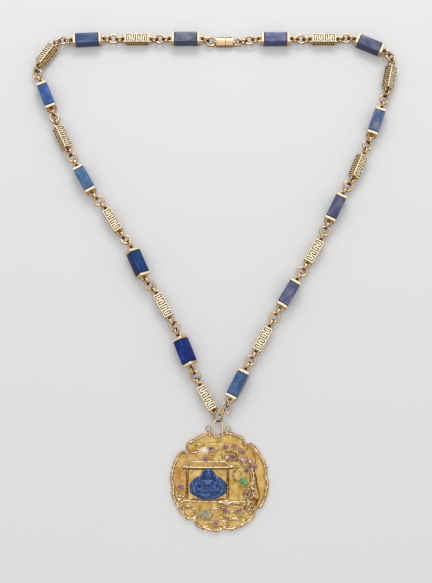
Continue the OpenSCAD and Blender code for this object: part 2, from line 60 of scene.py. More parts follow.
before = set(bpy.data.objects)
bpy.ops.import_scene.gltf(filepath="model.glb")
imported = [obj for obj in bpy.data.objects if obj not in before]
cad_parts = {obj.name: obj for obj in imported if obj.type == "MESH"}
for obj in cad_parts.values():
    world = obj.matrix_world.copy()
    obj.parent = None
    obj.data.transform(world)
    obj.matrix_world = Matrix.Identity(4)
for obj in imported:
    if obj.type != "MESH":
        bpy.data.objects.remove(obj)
CAD_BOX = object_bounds()
BODY = "necklace"
CATCH_BODY = "catch"
MM = 0.001

# Middle of the necklace's bounding box in the layout's frame
MIDDLE = (-0.82, 14.27)

# Where the pieces of the chain lie, in order round the loop from the pendant up the
# right side, then down the left side: x, y, heading, roll. Bars and links alternate.
RIGHT_SIDE = [
    (13.3, -59.0, 62.3, -8),
    (28.8, -30.8, 61.3, 0),
    (45.4, -2.2, 59.0, 0),
    (62.0, 25.1, 60.3, 0),
    (76.3, 53.7, 63.6, 0),
    (91.5, 81.5, 66.9, 36),
    (104.3, 112.1, 69.9, 0),
    (114.2, 143.1, 78.1, 42),
    (101.9, 166.6, 155.6, 0),
    (71.8, 171.1, 180, 0),
    (39.5, 171.0, 180, 0),
]
LEFT_SIDE = [
    (-20.1, 171.2, 180, 0),
    (-52.6, 171.1, 180, 0),
    (-85.6, 170.5, 183.3, 0),
    (-112.2, 159.4, 235.5, 30),
    (-111.2, 130.4, 292.4, 0),
    (-99.6, 101.2, 295.4, -34),
    (-84.5, 72.9, 299.6, 0),
    (-65.8, 45.7, 301.2, 0),
    (-49.2, 17.3, 293.9, -30),
    (-33.0, -9.6, 298.7, 0),
    (-19.1, -38.6, 292.1, 40),
    (-5.6, -67.0, 298.7, 0),
]
CLASP = (5.7, 169.2)
MEDALLION = (2.1, -116.8)

# Tones of the lapis bars, then the tone of each bar and how much grey host rock shows in
# it, from the one at the pendant's right round to the one at its left
LAPIS_TONES = {
    "royal": "#244F92",
    "steel": "#264E7E",
    "denim": "#3B6088",
    "dusk": "#2F4B75",
    "violet": "#3E4068",
    "heather": "#46496E",
    "slate": "#4C4E78",
    "storm": "#465A84",
    "iris": "#54587E",
    "navy": "#173A6A",
    "pale": "#52566C",
    "deep": "#0E3078",
}
BAR_TONES = [
    ("steel", 0.2), ("slate", 0.7), ("violet", 0.3), ("storm", 0.8), ("heather", 0.7), ("iris", 0.2),
    ("pale", 0.3), ("dusk", 0.2), ("royal", 0.1), ("denim", 0.1), ("navy", 0.0), ("deep", 0.0),
]


def length_in_metres(name, size, description):
    return FloatProperty(name=name, description=description, default=size, unit="LENGTH")


def hex_colour(name, tone, description):
    return StringProperty(name=name, description=description, default=tone)


class ChainSizes(PropertyGroup):
    """Sizes of the bars, the links and the jump rings."""

    stone_length: length_in_metres("Bar length", 0.015, "Length of a lapis bar")
    stone_side: length_in_metres("Bar side", 0.007, "Side of a lapis bar's section")
    cap_thickness: length_in_metres("Cap thickness", 0.00185, "Thickness of an end cap")
    cap_side: length_in_metres("Cap side", 0.0071, "Side of an end cap")
    link_length: length_in_metres("Link length", 0.0156, "Length of a pierced link")
    link_side: length_in_metres("Link side", 0.0058, "Side of a pierced link's section")
    ring_wire: length_in_metres("Ring wire", 0.0011, "Wire diameter of the jump rings")
    large_ring: length_in_metres("Large ring", 0.003, "Centreline radius of the large rings")
    small_ring: length_in_metres("Small ring", 0.00245, "Centreline radius of the small rings")


class PendantSizes(PropertyGroup):
    """Sizes of the medallion and its stones."""

    radius: length_in_metres("Radius", 0.03006, "Outer radius of the medallion's lobes")
    plate: length_in_metres("Plate", 0.0014, "Thickness of the medallion's plate")
    rim_height: length_in_metres("Rim height", 0.0027, "Height of the rim above the surface below")
    rim_width: length_in_metres("Rim width", 0.0029, "Width of the rim")
    pink_stone: length_in_metres("Pink stone", 0.0029, "Diameter of a round pink stone")
    bead: length_in_metres("Bead", 0.0052, "Diameter of the green bead")


class Finishes(PropertyGroup):
    """Colours of the metals, the stones and the floor, as sRGB hex values."""

    # Chain and ring golds: the first colour is painted light on surfaces that face up, the second painted
    # shade on the upright flanks
    chain_gold: hex_colour("Chain gold", "#FFF0D0", "Pale polished gold")
    chain_shaded_side: hex_colour("Chain gold, flanks", "#D4B27C", "Browner tone of the chain's flanks")
    ring_gold: hex_colour("Ring gold", "#EAC692", "Crests of the rings")
    ring_shaded_side: hex_colour("Ring gold, flanks", "#704526", "Brown flanks of the rings")
    plate_gold: hex_colour("Pendant gold", "#D4B674", "Rich satin gold")
    plate_shade: hex_colour("Pendant gold, deep", "#BE9648", "Deeper tone of the satin gold")
    # Relief gold lightens burnished ridges with a painted highlight too; the recess tone darkens tarnished
    # hollows and the foot of the relief with painted shade
    relief_gold: hex_colour("Relief gold", "#F8E2C2", "Bright crests of the relief")
    recess_tarnish_and_shade: hex_colour("Recesses", "#5A3A12", "Brown tarnish in the recesses")
    figure_lapis: hex_colour("Figure lapis", "#1A427A", "Carved lapis")
    opal: hex_colour("Opal", "#E8D4BC", "Milky opal")
    green: hex_colour("Green stone", "#7EB05C", "Green bead")
    jade: hex_colour("Jade", "#B4A77A", "Grey green jade")
    pink: hex_colour("Pink stone", "#A04058", "Pink faceted stones")
    floor: hex_colour("Floor", "#D4D4D4", "Pale floor")


# Placing


def turn(degrees, axis):
    return Matrix.Rotation(math.radians(degrees), 4, axis)


def shift(x, y, z):
    return Matrix.Translation((x, y, z))


def along(heading):
    a = math.radians(heading)
    return Vector((math.cos(a), math.sin(a), 0))


def spot(x, y, z, heading=0, roll=0, climb=0):
    """Matrix in metres of a place in the layout."""
    place = Matrix.Translation(Vector((x - MIDDLE[0], y - MIDDLE[1], z)) * MM)
    return place @ (turn(heading, "Z") @ turn(-climb, "Y") @ turn(roll, "X"))


def lift(side, roll):
    """Height of the middle of a square piece that is rolled and touches the floor."""
    r = math.radians(abs(roll))
    return side / 2 * (math.cos(r) + math.sin(r))


def in_mm(value):
    return value / MM


def laid_pieces(kind, side):
    """Number, place and roll of the bars (0) or the links (1), counted round the loop."""
    rows = RIGHT_SIDE[kind::2] + LEFT_SIDE[kind::2]
    for number, (x, y, heading, roll) in enumerate(rows, 1):
        yield number, spot(x, y, lift(side, roll), heading), turn(roll, "X")


# Meshes. A part is a pair of lists, vertices in millimetres and faces.

# Vertices nearer than this many metres are one
WELD = 1e-7
# Degrees between faces above which an edge is bevelled
BEVELLED_FROM = 50


def merge(parts):
    verts = []
    faces = []
    for part_verts, part_faces in parts:
        start = len(verts)
        verts.extend(part_verts)
        faces.extend([[start + i for i in face] for face in part_faces])
    return verts, faces


def moved(part, matrix):
    """A part turned and shifted by a matrix in millimetres."""
    return [matrix @ Vector(v) for v in part[0]], part[1]


def both_ends(part, half):
    return merge([moved(part, turn(a, "Z") @ shift(half, 0, 0)) for a in (0, 180)])


def unpacked(bm):
    bm.verts.index_update()
    part = [v.co.copy() for v in bm.verts], [[v.index for v in f.verts] for f in bm.faces]
    bm.free()
    return part


def rounded_box(size, bevel, segments):
    bm = bmesh.new()
    bmesh.ops.create_cube(bm, size=1)
    bmesh.ops.scale(bm, vec=size, verts=bm.verts)
    bmesh.ops.bevel(bm, geom=bm.edges[:], offset=bevel, segments=segments, profile=0.5, affect="EDGES")
    return unpacked(bm)


def raised_polygon(outline, low, high, bevel):
    """Flat plate of an outline with its upper edge rounded."""
    bm = bmesh.new()
    face = bm.faces.new([bm.verts.new((x, y, low)) for x, y in outline])
    top = bmesh.ops.extrude_face_region(bm, geom=[face])
    upper = [v for v in top["geom"] if isinstance(v, bmesh.types.BMVert)]
    bmesh.ops.translate(bm, vec=(0, 0, high - low), verts=upper)
    edges = [e for e in bm.edges if all(v in upper for v in e.verts)]
    bmesh.ops.bevel(bm, geom=edges, offset=bevel, segments=2, profile=0.5, affect="EDGES")
    bmesh.ops.triangulate(bm, faces=[f for f in bm.faces if len(f.verts) > 4])
    return unpacked(bm)


def arc(radius, start, end, steps, centre=(0, 0), height=0):
    points = []
    for k in range(steps + 1):
        a = math.radians(start + (end - start) * k / steps)
        points.append((centre[0] + radius * math.cos(a), centre[1] + radius * math.sin(a), height))
    return points


def sweep(path, radius, sides, closed=False, flat=1.0):
    """Rod of round or flattened section along a path that runs nearly level. The radius
    is one for the whole rod or a list with one for each point."""
    path = [Vector(p) for p in path]
    count = len(path)
    radii = radius if isinstance(radius, list) else [radius] * count
    verts = []
    faces = []
    for i, p in enumerate(path):
        before = path[i - 1] if i or closed else p
        after = path[(i + 1) % count] if closed or i < count - 1 else p
        tangent = (after - before).normalized()
        across = Vector((0, 0, 1)).cross(tangent).normalized()
        rise = tangent.cross(across)
        for k in range(sides):
            a = 2 * math.pi * k / sides
            verts.append(p + radii[i] * (math.cos(a) * across + flat * math.sin(a) * rise))
    for i in range(count if closed else count - 1):
        a = i * sides
        b = (i + 1) % count * sides
        for k in range(sides):
            m = (k + 1) % sides
            faces.append([a + k, a + m, b + m, b + k])
    if not closed:
        faces.append(list(range(sides)))
        faces.append(list(range((count - 1) * sides, count * sides)))
    return verts, faces


def lathe(profile, steps):
    """Turned shape round Z from rows of radius and height. A zero radius is a point."""
    verts = []
    rows = []
    for r, z in profile:
        if r == 0:
            rows.append([len(verts)] * steps)
            verts.append(Vector((0, 0, z)))
        else:
            rows.append(list(range(len(verts), len(verts) + steps)))
            for k in range(steps):
                a = 2 * math.pi * k / steps
                verts.append(Vector((r * math.cos(a), r * math.sin(a), z)))
    faces = []
    for low, high in zip(rows, rows[1:]):
        for k in range(steps):
            m = (k + 1) % steps
            faces.append(list(dict.fromkeys([low[k], low[m], high[m], high[k]])))
    return verts, [f for f in faces if len(f) > 2]


def ball(radius, centre=(0, 0, 0), scale=(1, 1, 1), rings=8, steps=12):
    rows = [(0, -radius)]
    for k in range(1, rings):
        a = math.pi * k / rings
        rows.append((radius * math.sin(a), -radius * math.cos(a)))
    verts, faces = lathe(rows + [(0, radius)], steps)
    return [Vector((v.x * scale[0], v.y * scale[1], v.z * scale[2])) + Vector(centre) for v in verts], faces


def fits(part):
    """Whether a part in millimetres lies inside the box of the solid model."""
    low, high = CAD_BOX
    return all(low[k] <= v[k] * MM <= high[k] for v in part[0] for k in range(3))


def linked(name, data):
    """Object with these data in the scene."""
    obj = bpy.data.objects.new(name, data)
    bpy.context.scene.collection.objects.link(obj)
    return obj


def piece(
    name, part, material, slot, matrix=None, stands_for=(),
    body=BODY, smooth=40, bevel=0.0, others=(), paint=None,
):
    """Object from a part, welded, with its shading, finish, place and body. The others
    are pairs of a material and the numbers of its faces, and paint has a colour for each
    vertex."""
    verts, faces = part
    mesh = bpy.data.meshes.new(name)
    mesh.from_pydata([Vector(v) * MM for v in verts], [], faces)
    mesh.materials.append(material)
    for index, (other, numbers) in enumerate(others, 1):
        mesh.materials.append(other)
        for number in numbers:
            mesh.polygons[number].material_index = index
    if paint is not None:
        layer = mesh.color_attributes.new("patina_and_light", "FLOAT_COLOR", "POINT")
        layer.data.foreach_set("color", np.asarray(paint, dtype=np.float32).ravel())
    bm = bmesh.new()
    bm.from_mesh(mesh)
    bmesh.ops.remove_doubles(bm, verts=bm.verts, dist=WELD)
    if bevel:
        edges = [e for e in bm.edges if e.is_manifold and e.calc_face_angle(0) > math.radians(BEVELLED_FROM)]
        low = [min(v.co[k] for v in bm.verts) for k in range(3)]
        high = [max(v.co[k] for v in bm.verts) for k in range(3)]
        bmesh.ops.bevel(bm, geom=edges, offset=bevel * MM, segments=1, profile=0.5, affect="EDGES")
        for v in bm.verts:
            v.co = [min(max(v.co[k], low[k]), high[k]) for k in range(3)]
    bmesh.ops.recalc_face_normals(bm, faces=bm.faces)
    bm.to_mesh(mesh)
    bm.free()
    mesh.shade_smooth()
    mesh.set_sharp_from_angle(angle=math.radians(smooth))
    obj = linked(name, mesh)
    if matrix is not None:
        obj.matrix_world = matrix
    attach(obj, body)
    if stands_for:
        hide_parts(*stands_for)


# Materials


def linear(tone):
    """Linear RGBA of an sRGB hex value."""
    channels = [int(tone[i:i + 2], 16) / 255 for i in (1, 3, 5)]
    return tuple(c / 12.92 if c <= 0.04045 else ((c + 0.055) / 1.055) ** 2.4 for c in channels) + (1.0,)


def scaled(tone, share, more=0.0):
    """A linear RGBA made lighter or darker."""
    return tuple(c * share + more for c in tone[:3]) + (1.0,)


def add_node(tree, kind, inputs=None, **settings):
    """Node with its settings. An input is a value or the output that it is linked to."""
    node = tree.nodes.new(kind)
    for key, value in settings.items():
        setattr(node, key, value)
    for key, value in (inputs or {}).items():
        if isinstance(value, bpy.types.NodeSocket):
            tree.links.new(value, node.inputs[key])
        else:
            node.inputs[key].default_value = value
    return node


def own_place(tree):
    """Place on the piece itself, in metres."""
    return add_node(tree, "ShaderNodeTexCoord").outputs["Object"]


def part_of(tree, vector, axis):
    return add_node(tree, "ShaderNodeSeparateXYZ", {"Vector": vector}).outputs[axis]


def facing_up(tree):
    """How far the surface faces up: 1 where it is level and 0 where it is upright."""
    return part_of(tree, add_node(tree, "ShaderNodeNewGeometry").outputs["Normal"], "Z")


def patina_and_light_of(tree):
    """Outputs Red, Green and Blue of the colours that a piece is painted with."""
    paint = add_node(tree, "ShaderNodeAttribute", attribute_name="patina_and_light")
    return add_node(tree, "ShaderNodeSeparateColor", {"Color": paint.outputs["Color"]}).outputs


def noise(tree, place, size, detail=3.0, distortion=0.0):
    """Clouds of about this many millimetres."""
    inputs = {"Vector": place, "Scale": 1 / (size * MM), "Detail": detail, "Distortion": distortion}
    return add_node(tree, "ShaderNodeTexNoise", inputs).outputs["Fac"]


def ranged(tree, value, start=0.0, end=1.0, low=0.0, high=1.0, smooth=False):
    """Value turned from one range into another, in a straight or a smooth way."""
    inputs = {"Value": value, "From Min": start, "From Max": end, "To Min": low, "To Max": high}
    way = "SMOOTHSTEP" if smooth else "LINEAR"
    return add_node(tree, "ShaderNodeMapRange", inputs, interpolation_type=way).outputs[0]


def maths(tree, operation, *values):
    return add_node(tree, "ShaderNodeMath", dict(enumerate(values)), operation=operation).outputs[0]


def blend(tree, share, first, second):
    """Colour between the first at a share of 0 and the second at 1."""
    return add_node(tree, "ShaderNodeMix", {0: share, 6: first, 7: second}, data_type="RGBA").outputs[2]


def ramp(tree, share, steps):
    """Colour that runs through steps of place and colour."""
    node = add_node(tree, "ShaderNodeValToRGB", {"Fac": share})
    for place, tone in steps[2:]:
        node.color_ramp.elements.new(place)
    for mark, (place, tone) in zip(node.color_ramp.elements, steps):
        mark.position = place
        mark.color = tone
    return node.outputs[0]


def bumped(tree, height, strength, depth):
    """Normal of a surface with small relief of this many millimetres."""
    inputs = {"Height": height, "Strength": strength, "Distance": depth * MM}
    return add_node(tree, "ShaderNodeBump", inputs).outputs["Normal"]


def empty_material(name):
    material = bpy.data.materials.new(name)
    material.use_nodes = True
    material.node_tree.nodes.clear()
    return material, material.node_tree


def surface(tree, inputs):
    shader = add_node(tree, "ShaderNodeBsdfPrincipled", inputs)
    add_node(tree, "ShaderNodeOutputMaterial", {"Surface": shader.outputs[0]})


def polished_gold(name, crest, shaded_side, roughness=0.2, low=0.15, high=0.8):
    """Fourteen carat gold, cast and polished on a mop. Its colour carries painted light: cream where the
    surface faces up, as if lit from above, and browner on the upright flanks as painted shade."""
    material, tree = empty_material(name)
    place = own_place(tree)
    jitter = ranged(tree, noise(tree, place, 2.0), low=-0.18, high=0.18)
    # Painted light: surfaces facing up take the lit colour, upright flanks the painted shade colour
    lit_share = ranged(tree, maths(tree, "ADD", facing_up(tree), jitter), low, high, smooth=True)
    surface(tree, {
        "Metallic": 1.0,
        "Base Color": blend(tree, lit_share, linear(shaded_side), linear(crest)),
        "Roughness": ranged(tree, lit_share, low=roughness * 1.5, high=roughness * 0.8),
        "Normal": bumped(tree, noise(tree, place, 1.1, 2.0), 0.6, 0.06),
    })
    return material


def shaded_inside_gold(name):
    """Fourteen carat gold inside the links and on the openings' walls, coloured black brown as painted shade
    so that the openings read as deep holes."""
    material, tree = empty_material(name)
    shade_cloud = noise(tree, own_place(tree), 0.8)
    surface(tree, {
        "Metallic": 0.1,
        "Roughness": 0.8,
        "Specular IOR Level": 0.1,
        "Base Color": blend(tree, shade_cloud, linear("#20140A"), linear("#4A321A")),
    })
    return material


def cast_gold(name, tone, shade, bright, recess_tarnish_and_shade):
    """Eighteen carat gold, cast and matted with a fine punch: broad soft shine with grains of about a
    millimetre, coarser than real ones so that they show. The painted colours say where it is tarnished and
    darkened with painted shade (red), where it is burnished and lightened with a painted highlight (green),
    and where it is orange (blue), which is partly a painted shadow."""
    material, tree = empty_material(name)
    place = own_place(tree)
    patina_and_light = patina_and_light_of(tree)
    cloud = ranged(tree, noise(tree, place, 5.0, 5.0), 0.36, 0.66)
    field = blend(tree, cloud, linear(tone), linear(shade))
    # Blue warms the tone towards orange brown, partly a painted shadow; green adds burnished polish and
    # painted highlight; red adds tarnishing and painted shade
    warm = blend(tree, patina_and_light["Blue"], field, linear("#A8682C"))
    polished_and_lit = blend(tree, patina_and_light["Green"], warm, linear(bright))
    punch = noise(tree, place, 0.9)
    matt = ranged(tree, punch, low=0.3, high=0.5)
    dull = add_node(tree, "ShaderNodeMix", {0: patina_and_light["Green"], 2: matt, 3: 0.16}, data_type="FLOAT")
    surface(tree, {
        "Metallic": 1.0,
        "Base Color": blend(tree, patina_and_light["Red"], polished_and_lit, linear(recess_tarnish_and_shade)),
        "Roughness": dull.outputs[0],
        "Normal": bumped(tree, punch, 0.8, 0.14),
    })
    return material


def polished_lapis(
    name, tone, seed, gloss=0.22, size=3.2, contrast=1.0, shine=0.4, rock=0.0, cap_shade_at=None, tooled=0.0
):
    """Lapis lazuli, cut and polished: deep blue with cloudy lighter calcite, darker seams, a few brassy
    specks of pyrite and patches of grey host rock below a glassy surface. A bar has its clouds drawn out
    along it and carries painted shade on its upright flanks and near its caps, from this far from the middle
    on. A carving keeps faint tool marks of about half a millimetre, which break its shine up, and carries
    painted shade in its folds and painted highlights on its ridges."""
    material, tree = empty_material(name)
    deep = linear(tone)
    place = own_place(tree)
    own = add_node(tree, "ShaderNodeMapping", {
        "Vector": place,
        "Location": (0.013 * seed, 0.007 * seed, 0.0),
        "Scale": (1.0 if cap_shade_at is None else 0.4, 1.0, 1.0),
    }).outputs[0]
    darker = scaled(deep, 1 - 0.42 * contrast)
    paler = scaled(deep, 1 + 0.6 * contrast, 0.03 * contrast)
    cloud = ramp(tree, noise(tree, own, size, 6.0, 0.6), [(0.3, darker), (0.52, deep), (0.72, paler)])
    cells = add_node(tree, "ShaderNodeTexVoronoi", {"Vector": own, "Scale": 1 / (1.1 * MM)})
    near = maths(tree, "LESS_THAN", cells.outputs["Distance"], 0.07)
    seam = maths(tree, "GREATER_THAN", noise(tree, own, 2.4, 2.0), 0.6)
    speck = maths(tree, "MULTIPLY", near, seam)
    shown = blend(tree, speck, cloud, linear("#D8B765"))
    inputs = {"Roughness": gloss, "IOR": 1.5, "Specular IOR Level": shine, "Metallic": speck}
    if rock:
        patch = ranged(tree, noise(tree, own, 3.2, 4.0), 0.48, 0.66, high=rock)
        shown = blend(tree, patch, shown, linear("#7A765E"))
    if tooled:
        # Painted shade in the folds (red) and painted highlights on the ridges (green)
        patina_and_light = patina_and_light_of(tree)
        fold_shade = blend(tree, patina_and_light["Red"], shown, scaled(deep, 0.3))
        shown = blend(tree, patina_and_light["Green"], fold_shade, linear("#6A88BA"))
        inputs["Normal"] = bumped(tree, noise(tree, own, 0.6, 2.0), tooled, 0.15)
    # Painted shade: upright flanks and the ends next to the caps are darkened
    if cap_shade_at is not None:
        away = maths(tree, "ABSOLUTE", part_of(tree, place, "X"))
        shade = ranged(tree, away, (cap_shade_at - 0.9) * MM, cap_shade_at * MM, smooth=True)
        shaded_side = ranged(tree, facing_up(tree), 0.5, 0.85, 0.85, 0.0, smooth=True)
        shade_tone = (deep[0] * 0.12, deep[1] * 0.2, deep[2] * 0.45, 1.0)
        shown = blend(tree, maths(tree, "MAXIMUM", shade, shaded_side), shown, shade_tone)
    surface(tree, {**inputs, "Base Color": shown})
    return material


def cloudy_stone(name, tone, cloud_tone, size, roughness, clear=0.0, glow=0.0, ior=1.5):
    """Polished translucent stone: one tone clouded with another, a little light passing
    under the surface."""
    material, tree = empty_material(name)
    cloud = ranged(tree, noise(tree, own_place(tree), size, 5.0, 0.8), 0.38, 0.66)
    surface(tree, {
        "Roughness": roughness,
        "IOR": ior,
        "Transmission Weight": clear,
        "Subsurface Weight": glow,
        "Subsurface Radius": (0.001, 0.001, 0.001),
        "Coat Weight": 0.3,
        "Base Color": blend(tree, cloud, linear(tone), linear(cloud_tone)),
    })
    return material


def matte_board(name, tone):
    """Plain matte board of a photographer's table: even and without shine."""
    material, tree = empty_material(name)
    cloud = ranged(tree, noise(tree, own_place(tree), 60.0, 2.0), high=0.12)
    surface(tree, {
        "Roughness": 0.95,
        "Specular IOR Level": 0.1,
        "Base Color": blend(tree, cloud, linear(tone), linear("#D0D0D0")),
    })
    return material


def once(name, maker, *args, **settings):
    """The material of that name, made the first time it is asked for."""
    return bpy.data.materials.get(name) or maker(name, *args, **settings)


def finishes():
    return bpy.context.scene.sautoir_finishes


def chain_gold():
    tones = finishes()
    return once("polished pale gold", polished_gold, tones.chain_gold, tones.chain_shaded_side, low=0.45, high=0.97)


def ring_gold():
    tones = finishes()
    settings = {"roughness": 0.16, "low": 0.55, "high": 1.0}
    return once("drawn gold wire", polished_gold, tones.ring_gold, tones.ring_shaded_side, **settings)


def inner_gold():
    return once("gold inside, painted shade", shaded_inside_gold)


def clasp_gold():
    return once("polished rose gold", polished_gold, "#CFB48E", "#A98860")


# Near black painted shade in the fret's blind grooves
def groove_shade_gold():
    return once("gold of the grooves, painted shade", polished_gold, "#3A2812", "#241808", roughness=0.5)


def plate_gold():
    tones = finishes()
    colours = (tones.plate_gold, tones.plate_shade, tones.relief_gold, tones.recess_tarnish_and_shade)
    return once("matted cast gold", cast_gold, *colours)


# Chain

# Wire loops of the bars and links, then the eyes of the clasp
LOOP_WIRE = 1.0
LOOP_RADIUS = 1.75
LOOP_REACH = 2.55
EYE_WIRE = 0.9
EYE_RADIUS = 1.15
EYE_REACH = 2.0
# Length of a loop's legs inside the metal that it is soldered to
SOLDERED = 0.4
WIRE_SIDES = 14
# Air left between a wire and the next one that it hangs in
TOUCH = 0.12
# Drawn wire over the wire that spaces the rings out
SWELL = 1.2
# Gap between a stone and its cap, and between the clasp's two blocks
PLAY = 0.06

# Clasp: its two blocks, the leaf of the tongue and the safety catch
CLASP_LENGTH = 11.2
CLASP_WIDTH = 5.0
CLASP_HEIGHT = 3.4
TONGUE_BLOCK = 5.0
LEAF = (4.0, 3.0, 1.2)
CATCH_WIRE = 0.7
CATCH_RADIUS = 1.5
CATCH_REACH = 5.6
CATCH_X = 3.1 - CLASP_LENGTH / 2
CATCH_Y = CLASP_WIDTH / 2 + 0.7
CATCH_HEIGHT = 2.0

# Tones of the bars with a weaker shine
DIM_TONES = ("navy", "deep")


def wire_loop(reach, radius, wire):
    """Loop on an end face at x = 0, standing out along +X in the XY plane."""
    path = arc(radius, -90, 90, 22, (reach - radius, 0))
    path = [(-SOLDERED, -radius, 0)] + path + [(-SOLDERED, radius, 0)]
    return sweep(path, wire / 2, WIRE_SIDES)


def stout_loop():
    """Wire loop of a cap or a link, thickened towards its inside."""
    swollen = LOOP_WIRE * (SWELL - 1) / 2
    return wire_loop(LOOP_REACH - swollen, LOOP_RADIUS - swollen, LOOP_WIRE * SWELL)


class SAUTOIR_OT_lapis_bars(Operator):
    """Add the square lapis bars."""

    bl_idname = "sautoir.lapis_bars"
    bl_label = "Lapis bars"

    def execute(self, context):
        sizes = context.scene.sautoir_chain
        length = in_mm(sizes.stone_length)
        side = in_mm(sizes.stone_side)
        bar = rounded_box((length, side, side), 0.38, 4)
        for number, place, roll in laid_pieces(0, in_mm(sizes.cap_side)):
            tone, rock = BAR_TONES[number - 1]
            shine = 0.15 if tone in DIM_TONES else 0.4
            name = "polished lapis %02d" % number
            stone = polished_lapis(name, LAPIS_TONES[tone], number, shine=shine, rock=rock, cap_shade_at=length / 2)
            node = "lapis_bar_%02d" % number
            piece("bar_stone_%02d" % number, moved(bar, roll), stone, "lapis", place, [node])
        return {"FINISHED"}


class SAUTOIR_OT_bar_mounts(Operator):
    """Add the end caps of the bars with their wire loops."""

    bl_idname = "sautoir.bar_mounts"
    bl_label = "Bar mounts"

    def execute(self, context):
        sizes = context.scene.sautoir_chain
        thick = in_mm(sizes.cap_thickness)
        side = in_mm(sizes.cap_side)
        half = in_mm(sizes.stone_length) / 2 + PLAY + thick
        caps = both_ends(rounded_box((thick, side, side), 0.37, 1), half - thick / 2)
        loops = both_ends(stout_loop(), half)
        for number, place, roll in laid_pieces(0, side):
            node = "bar_mount_%02d" % number
            piece("bar_caps_%02d" % number, moved(caps, roll), chain_gold(), "chain_gold", place, [node])
            piece("bar_loops_%02d" % number, moved(loops, roll), ring_gold(), "chain_gold", place)
        return {"FINISHED"}


# One key of the fret in cells along and across a face. A hash is an opening and a
# plus is a blind groove.
FRET_KEY = [
    "##+++.+++.",
    "#...+.+.+.",
    "+.+.+.+.#.",
    "+.#...#.+.",
    "#.+.+.+.+.",
    "+.+.+...#.",
    "+++.+++##.",
]
KEYS = 2
KEY_CELLS = 10
RIM_CELLS = 1
CELLS_ACROSS = 9
# Depth of an opening and of a groove
WALL = 0.6
GROOVE = 0.25
# How much of each face the chamfered edge takes
EDGE = 0.26
# Thickness of the plates that close a link's ends, and how much smaller they are
END_PLATE = 0.6
END_INSET = 0.7
# Sides of a cell: the cell beside it, then the side's two corners
CELL_SIDES = (
    ((-1, 0), (0, 0), (0, 1)),
    ((1, 0), (1, 1), (1, 0)),
    ((0, -1), (1, 0), (0, 0)),
    ((0, 1), (0, 1), (1, 1)),
)


def cut_cells():
    """Depth of the cells cut into one face of a pierced link, every other key turned."""
    cells = {}
    for key in range(KEYS):
        for v, row in enumerate(FRET_KEY[::-1] if key % 2 else FRET_KEY):
            for u, mark in enumerate(row):
                if mark != ".":
                    cells[(RIM_CELLS + key * KEY_CELLS + u, v + 1)] = WALL if mark == "#" else GROOVE
    return cells


def fret_tube(length, side):
    """Hollow square tube with a fret cut through its faces, the numbers of the faces of
    its inside and of the openings' walls, and those of the grooves."""
    count = KEYS * KEY_CELLS + RIM_CELLS
    step = length / count
    cell = side / CELLS_ACROSS
    cut = cut_cells()
    outer = side / 2
    reach = outer - EDGE
    verts = []
    faces = []
    dark = []
    grooves = []

    def quad(corners, kind=None):
        if kind is not None:
            kind.append(len(faces))
        faces.append(list(range(len(verts), len(verts) + 4)))
        verts.extend(corners)

    for quarter in range(4):
        own = turn(90 * quarter, "X")
        beyond = turn(90 * (quarter + 1), "X")

        def at(u, v, depth, facing=own):
            across = min(max(v * cell - outer, -reach), reach)
            return facing @ Vector((u * step - length / 2, across, outer - depth))

        last = CELLS_ACROSS
        for u in range(count):
            quad([at(u, 0, 0), at(u + 1, 0, 0), at(u + 1, last, 0, beyond), at(u, last, 0, beyond)])
        for u in range(count):
            for v in range(last):
                depth = cut.get((u, v), 0)
                if depth < WALL:
                    corners = [(u, v), (u + 1, v), (u + 1, v + 1), (u, v + 1)]
                    quad([at(*c, depth) for c in corners], grooves if depth else None)
                    if 0 < v < last - 1 and 0 < u < count - 1:
                        quad([at(*corners[k], WALL) for k in (0, 3, 2, 1)], dark)
                for (du, dv), a, b in CELL_SIDES:
                    beside = cut.get((u + du, v + dv), 0)
                    if beside < depth:
                        p = (u + a[0], v + a[1])
                        q = (u + b[0], v + b[1])
                        wall = [at(*p, beside), at(*q, beside), at(*q, depth), at(*p, depth)]
                        quad(wall, dark if depth == WALL else grooves)
        for u in (0, count):
            quad([at(u, 0, 0), at(u, last, 0, beyond), at(u, last, WALL, beyond), at(u, 0, WALL)])
            for v in range(last):
                quad([at(u, v, 0), at(u, v + 1, 0), at(u, v + 1, WALL), at(u, v, WALL)])
    plate = rounded_box((END_PLATE, side - END_INSET, side - END_INSET), 0.05, 1)
    plates = both_ends(plate, length / 2 - END_PLATE / 2)
    return merge([(verts, faces), plates]), dark, grooves


class SAUTOIR_OT_pierced_links(Operator):
    """Add the pierced gold links with their wire loops."""

    bl_idname = "sautoir.pierced_links"
    bl_label = "Pierced links"

    def execute(self, context):
        sizes = context.scene.sautoir_chain
        length = in_mm(sizes.link_length)
        side = in_mm(sizes.link_side)
        tube, dark, grooves = fret_tube(length, side)
        loops = both_ends(stout_loop(), length / 2)
        for number, place, roll in laid_pieces(1, side):
            node = "pierced_link_%02d" % number
            # The inside, the openings' walls and the grooves are coloured dark as painted shade
            piece(
                "fret_link_%02d" % number, moved(tube, roll), chain_gold(), "chain_gold", place, [node],
                bevel=0.05, smooth=30, others=[(inner_gold(), dark), (groove_shade_gold(), grooves)],
            )
            piece("fret_loops_%02d" % number, moved(loops, roll), ring_gold(), "chain_gold", place)
        return {"FINISHED"}


def curve_between(start, start_heading, end, end_heading, steps=32):
    """Smooth path that leaves the start and reaches the end with these headings."""
    reach = 0.45 * (end - start).length
    c = [start, start + reach * along(start_heading), end - reach * along(end_heading), end]
    points = []
    for k in range(steps + 1):
        t = k / steps
        s = 1 - t
        points.append(s ** 3 * c[0] + 3 * t * s ** 2 * c[1] + 3 * t * t * s * c[2] + t ** 3 * c[3])
    return points


def at_distance(path, s):
    """Point and direction of a path at a distance from its start."""
    for a, b in zip(path, path[1:]):
        size = (b - a).length
        if s <= size or b is path[-1]:
            return a + (b - a) * (s / size), (b - a) / size
        s -= size


# Shares of a string's slack taken up before its first ring and among its rings
SLACK_BEFORE = 0.225
SLACK_AMONG = 0.55


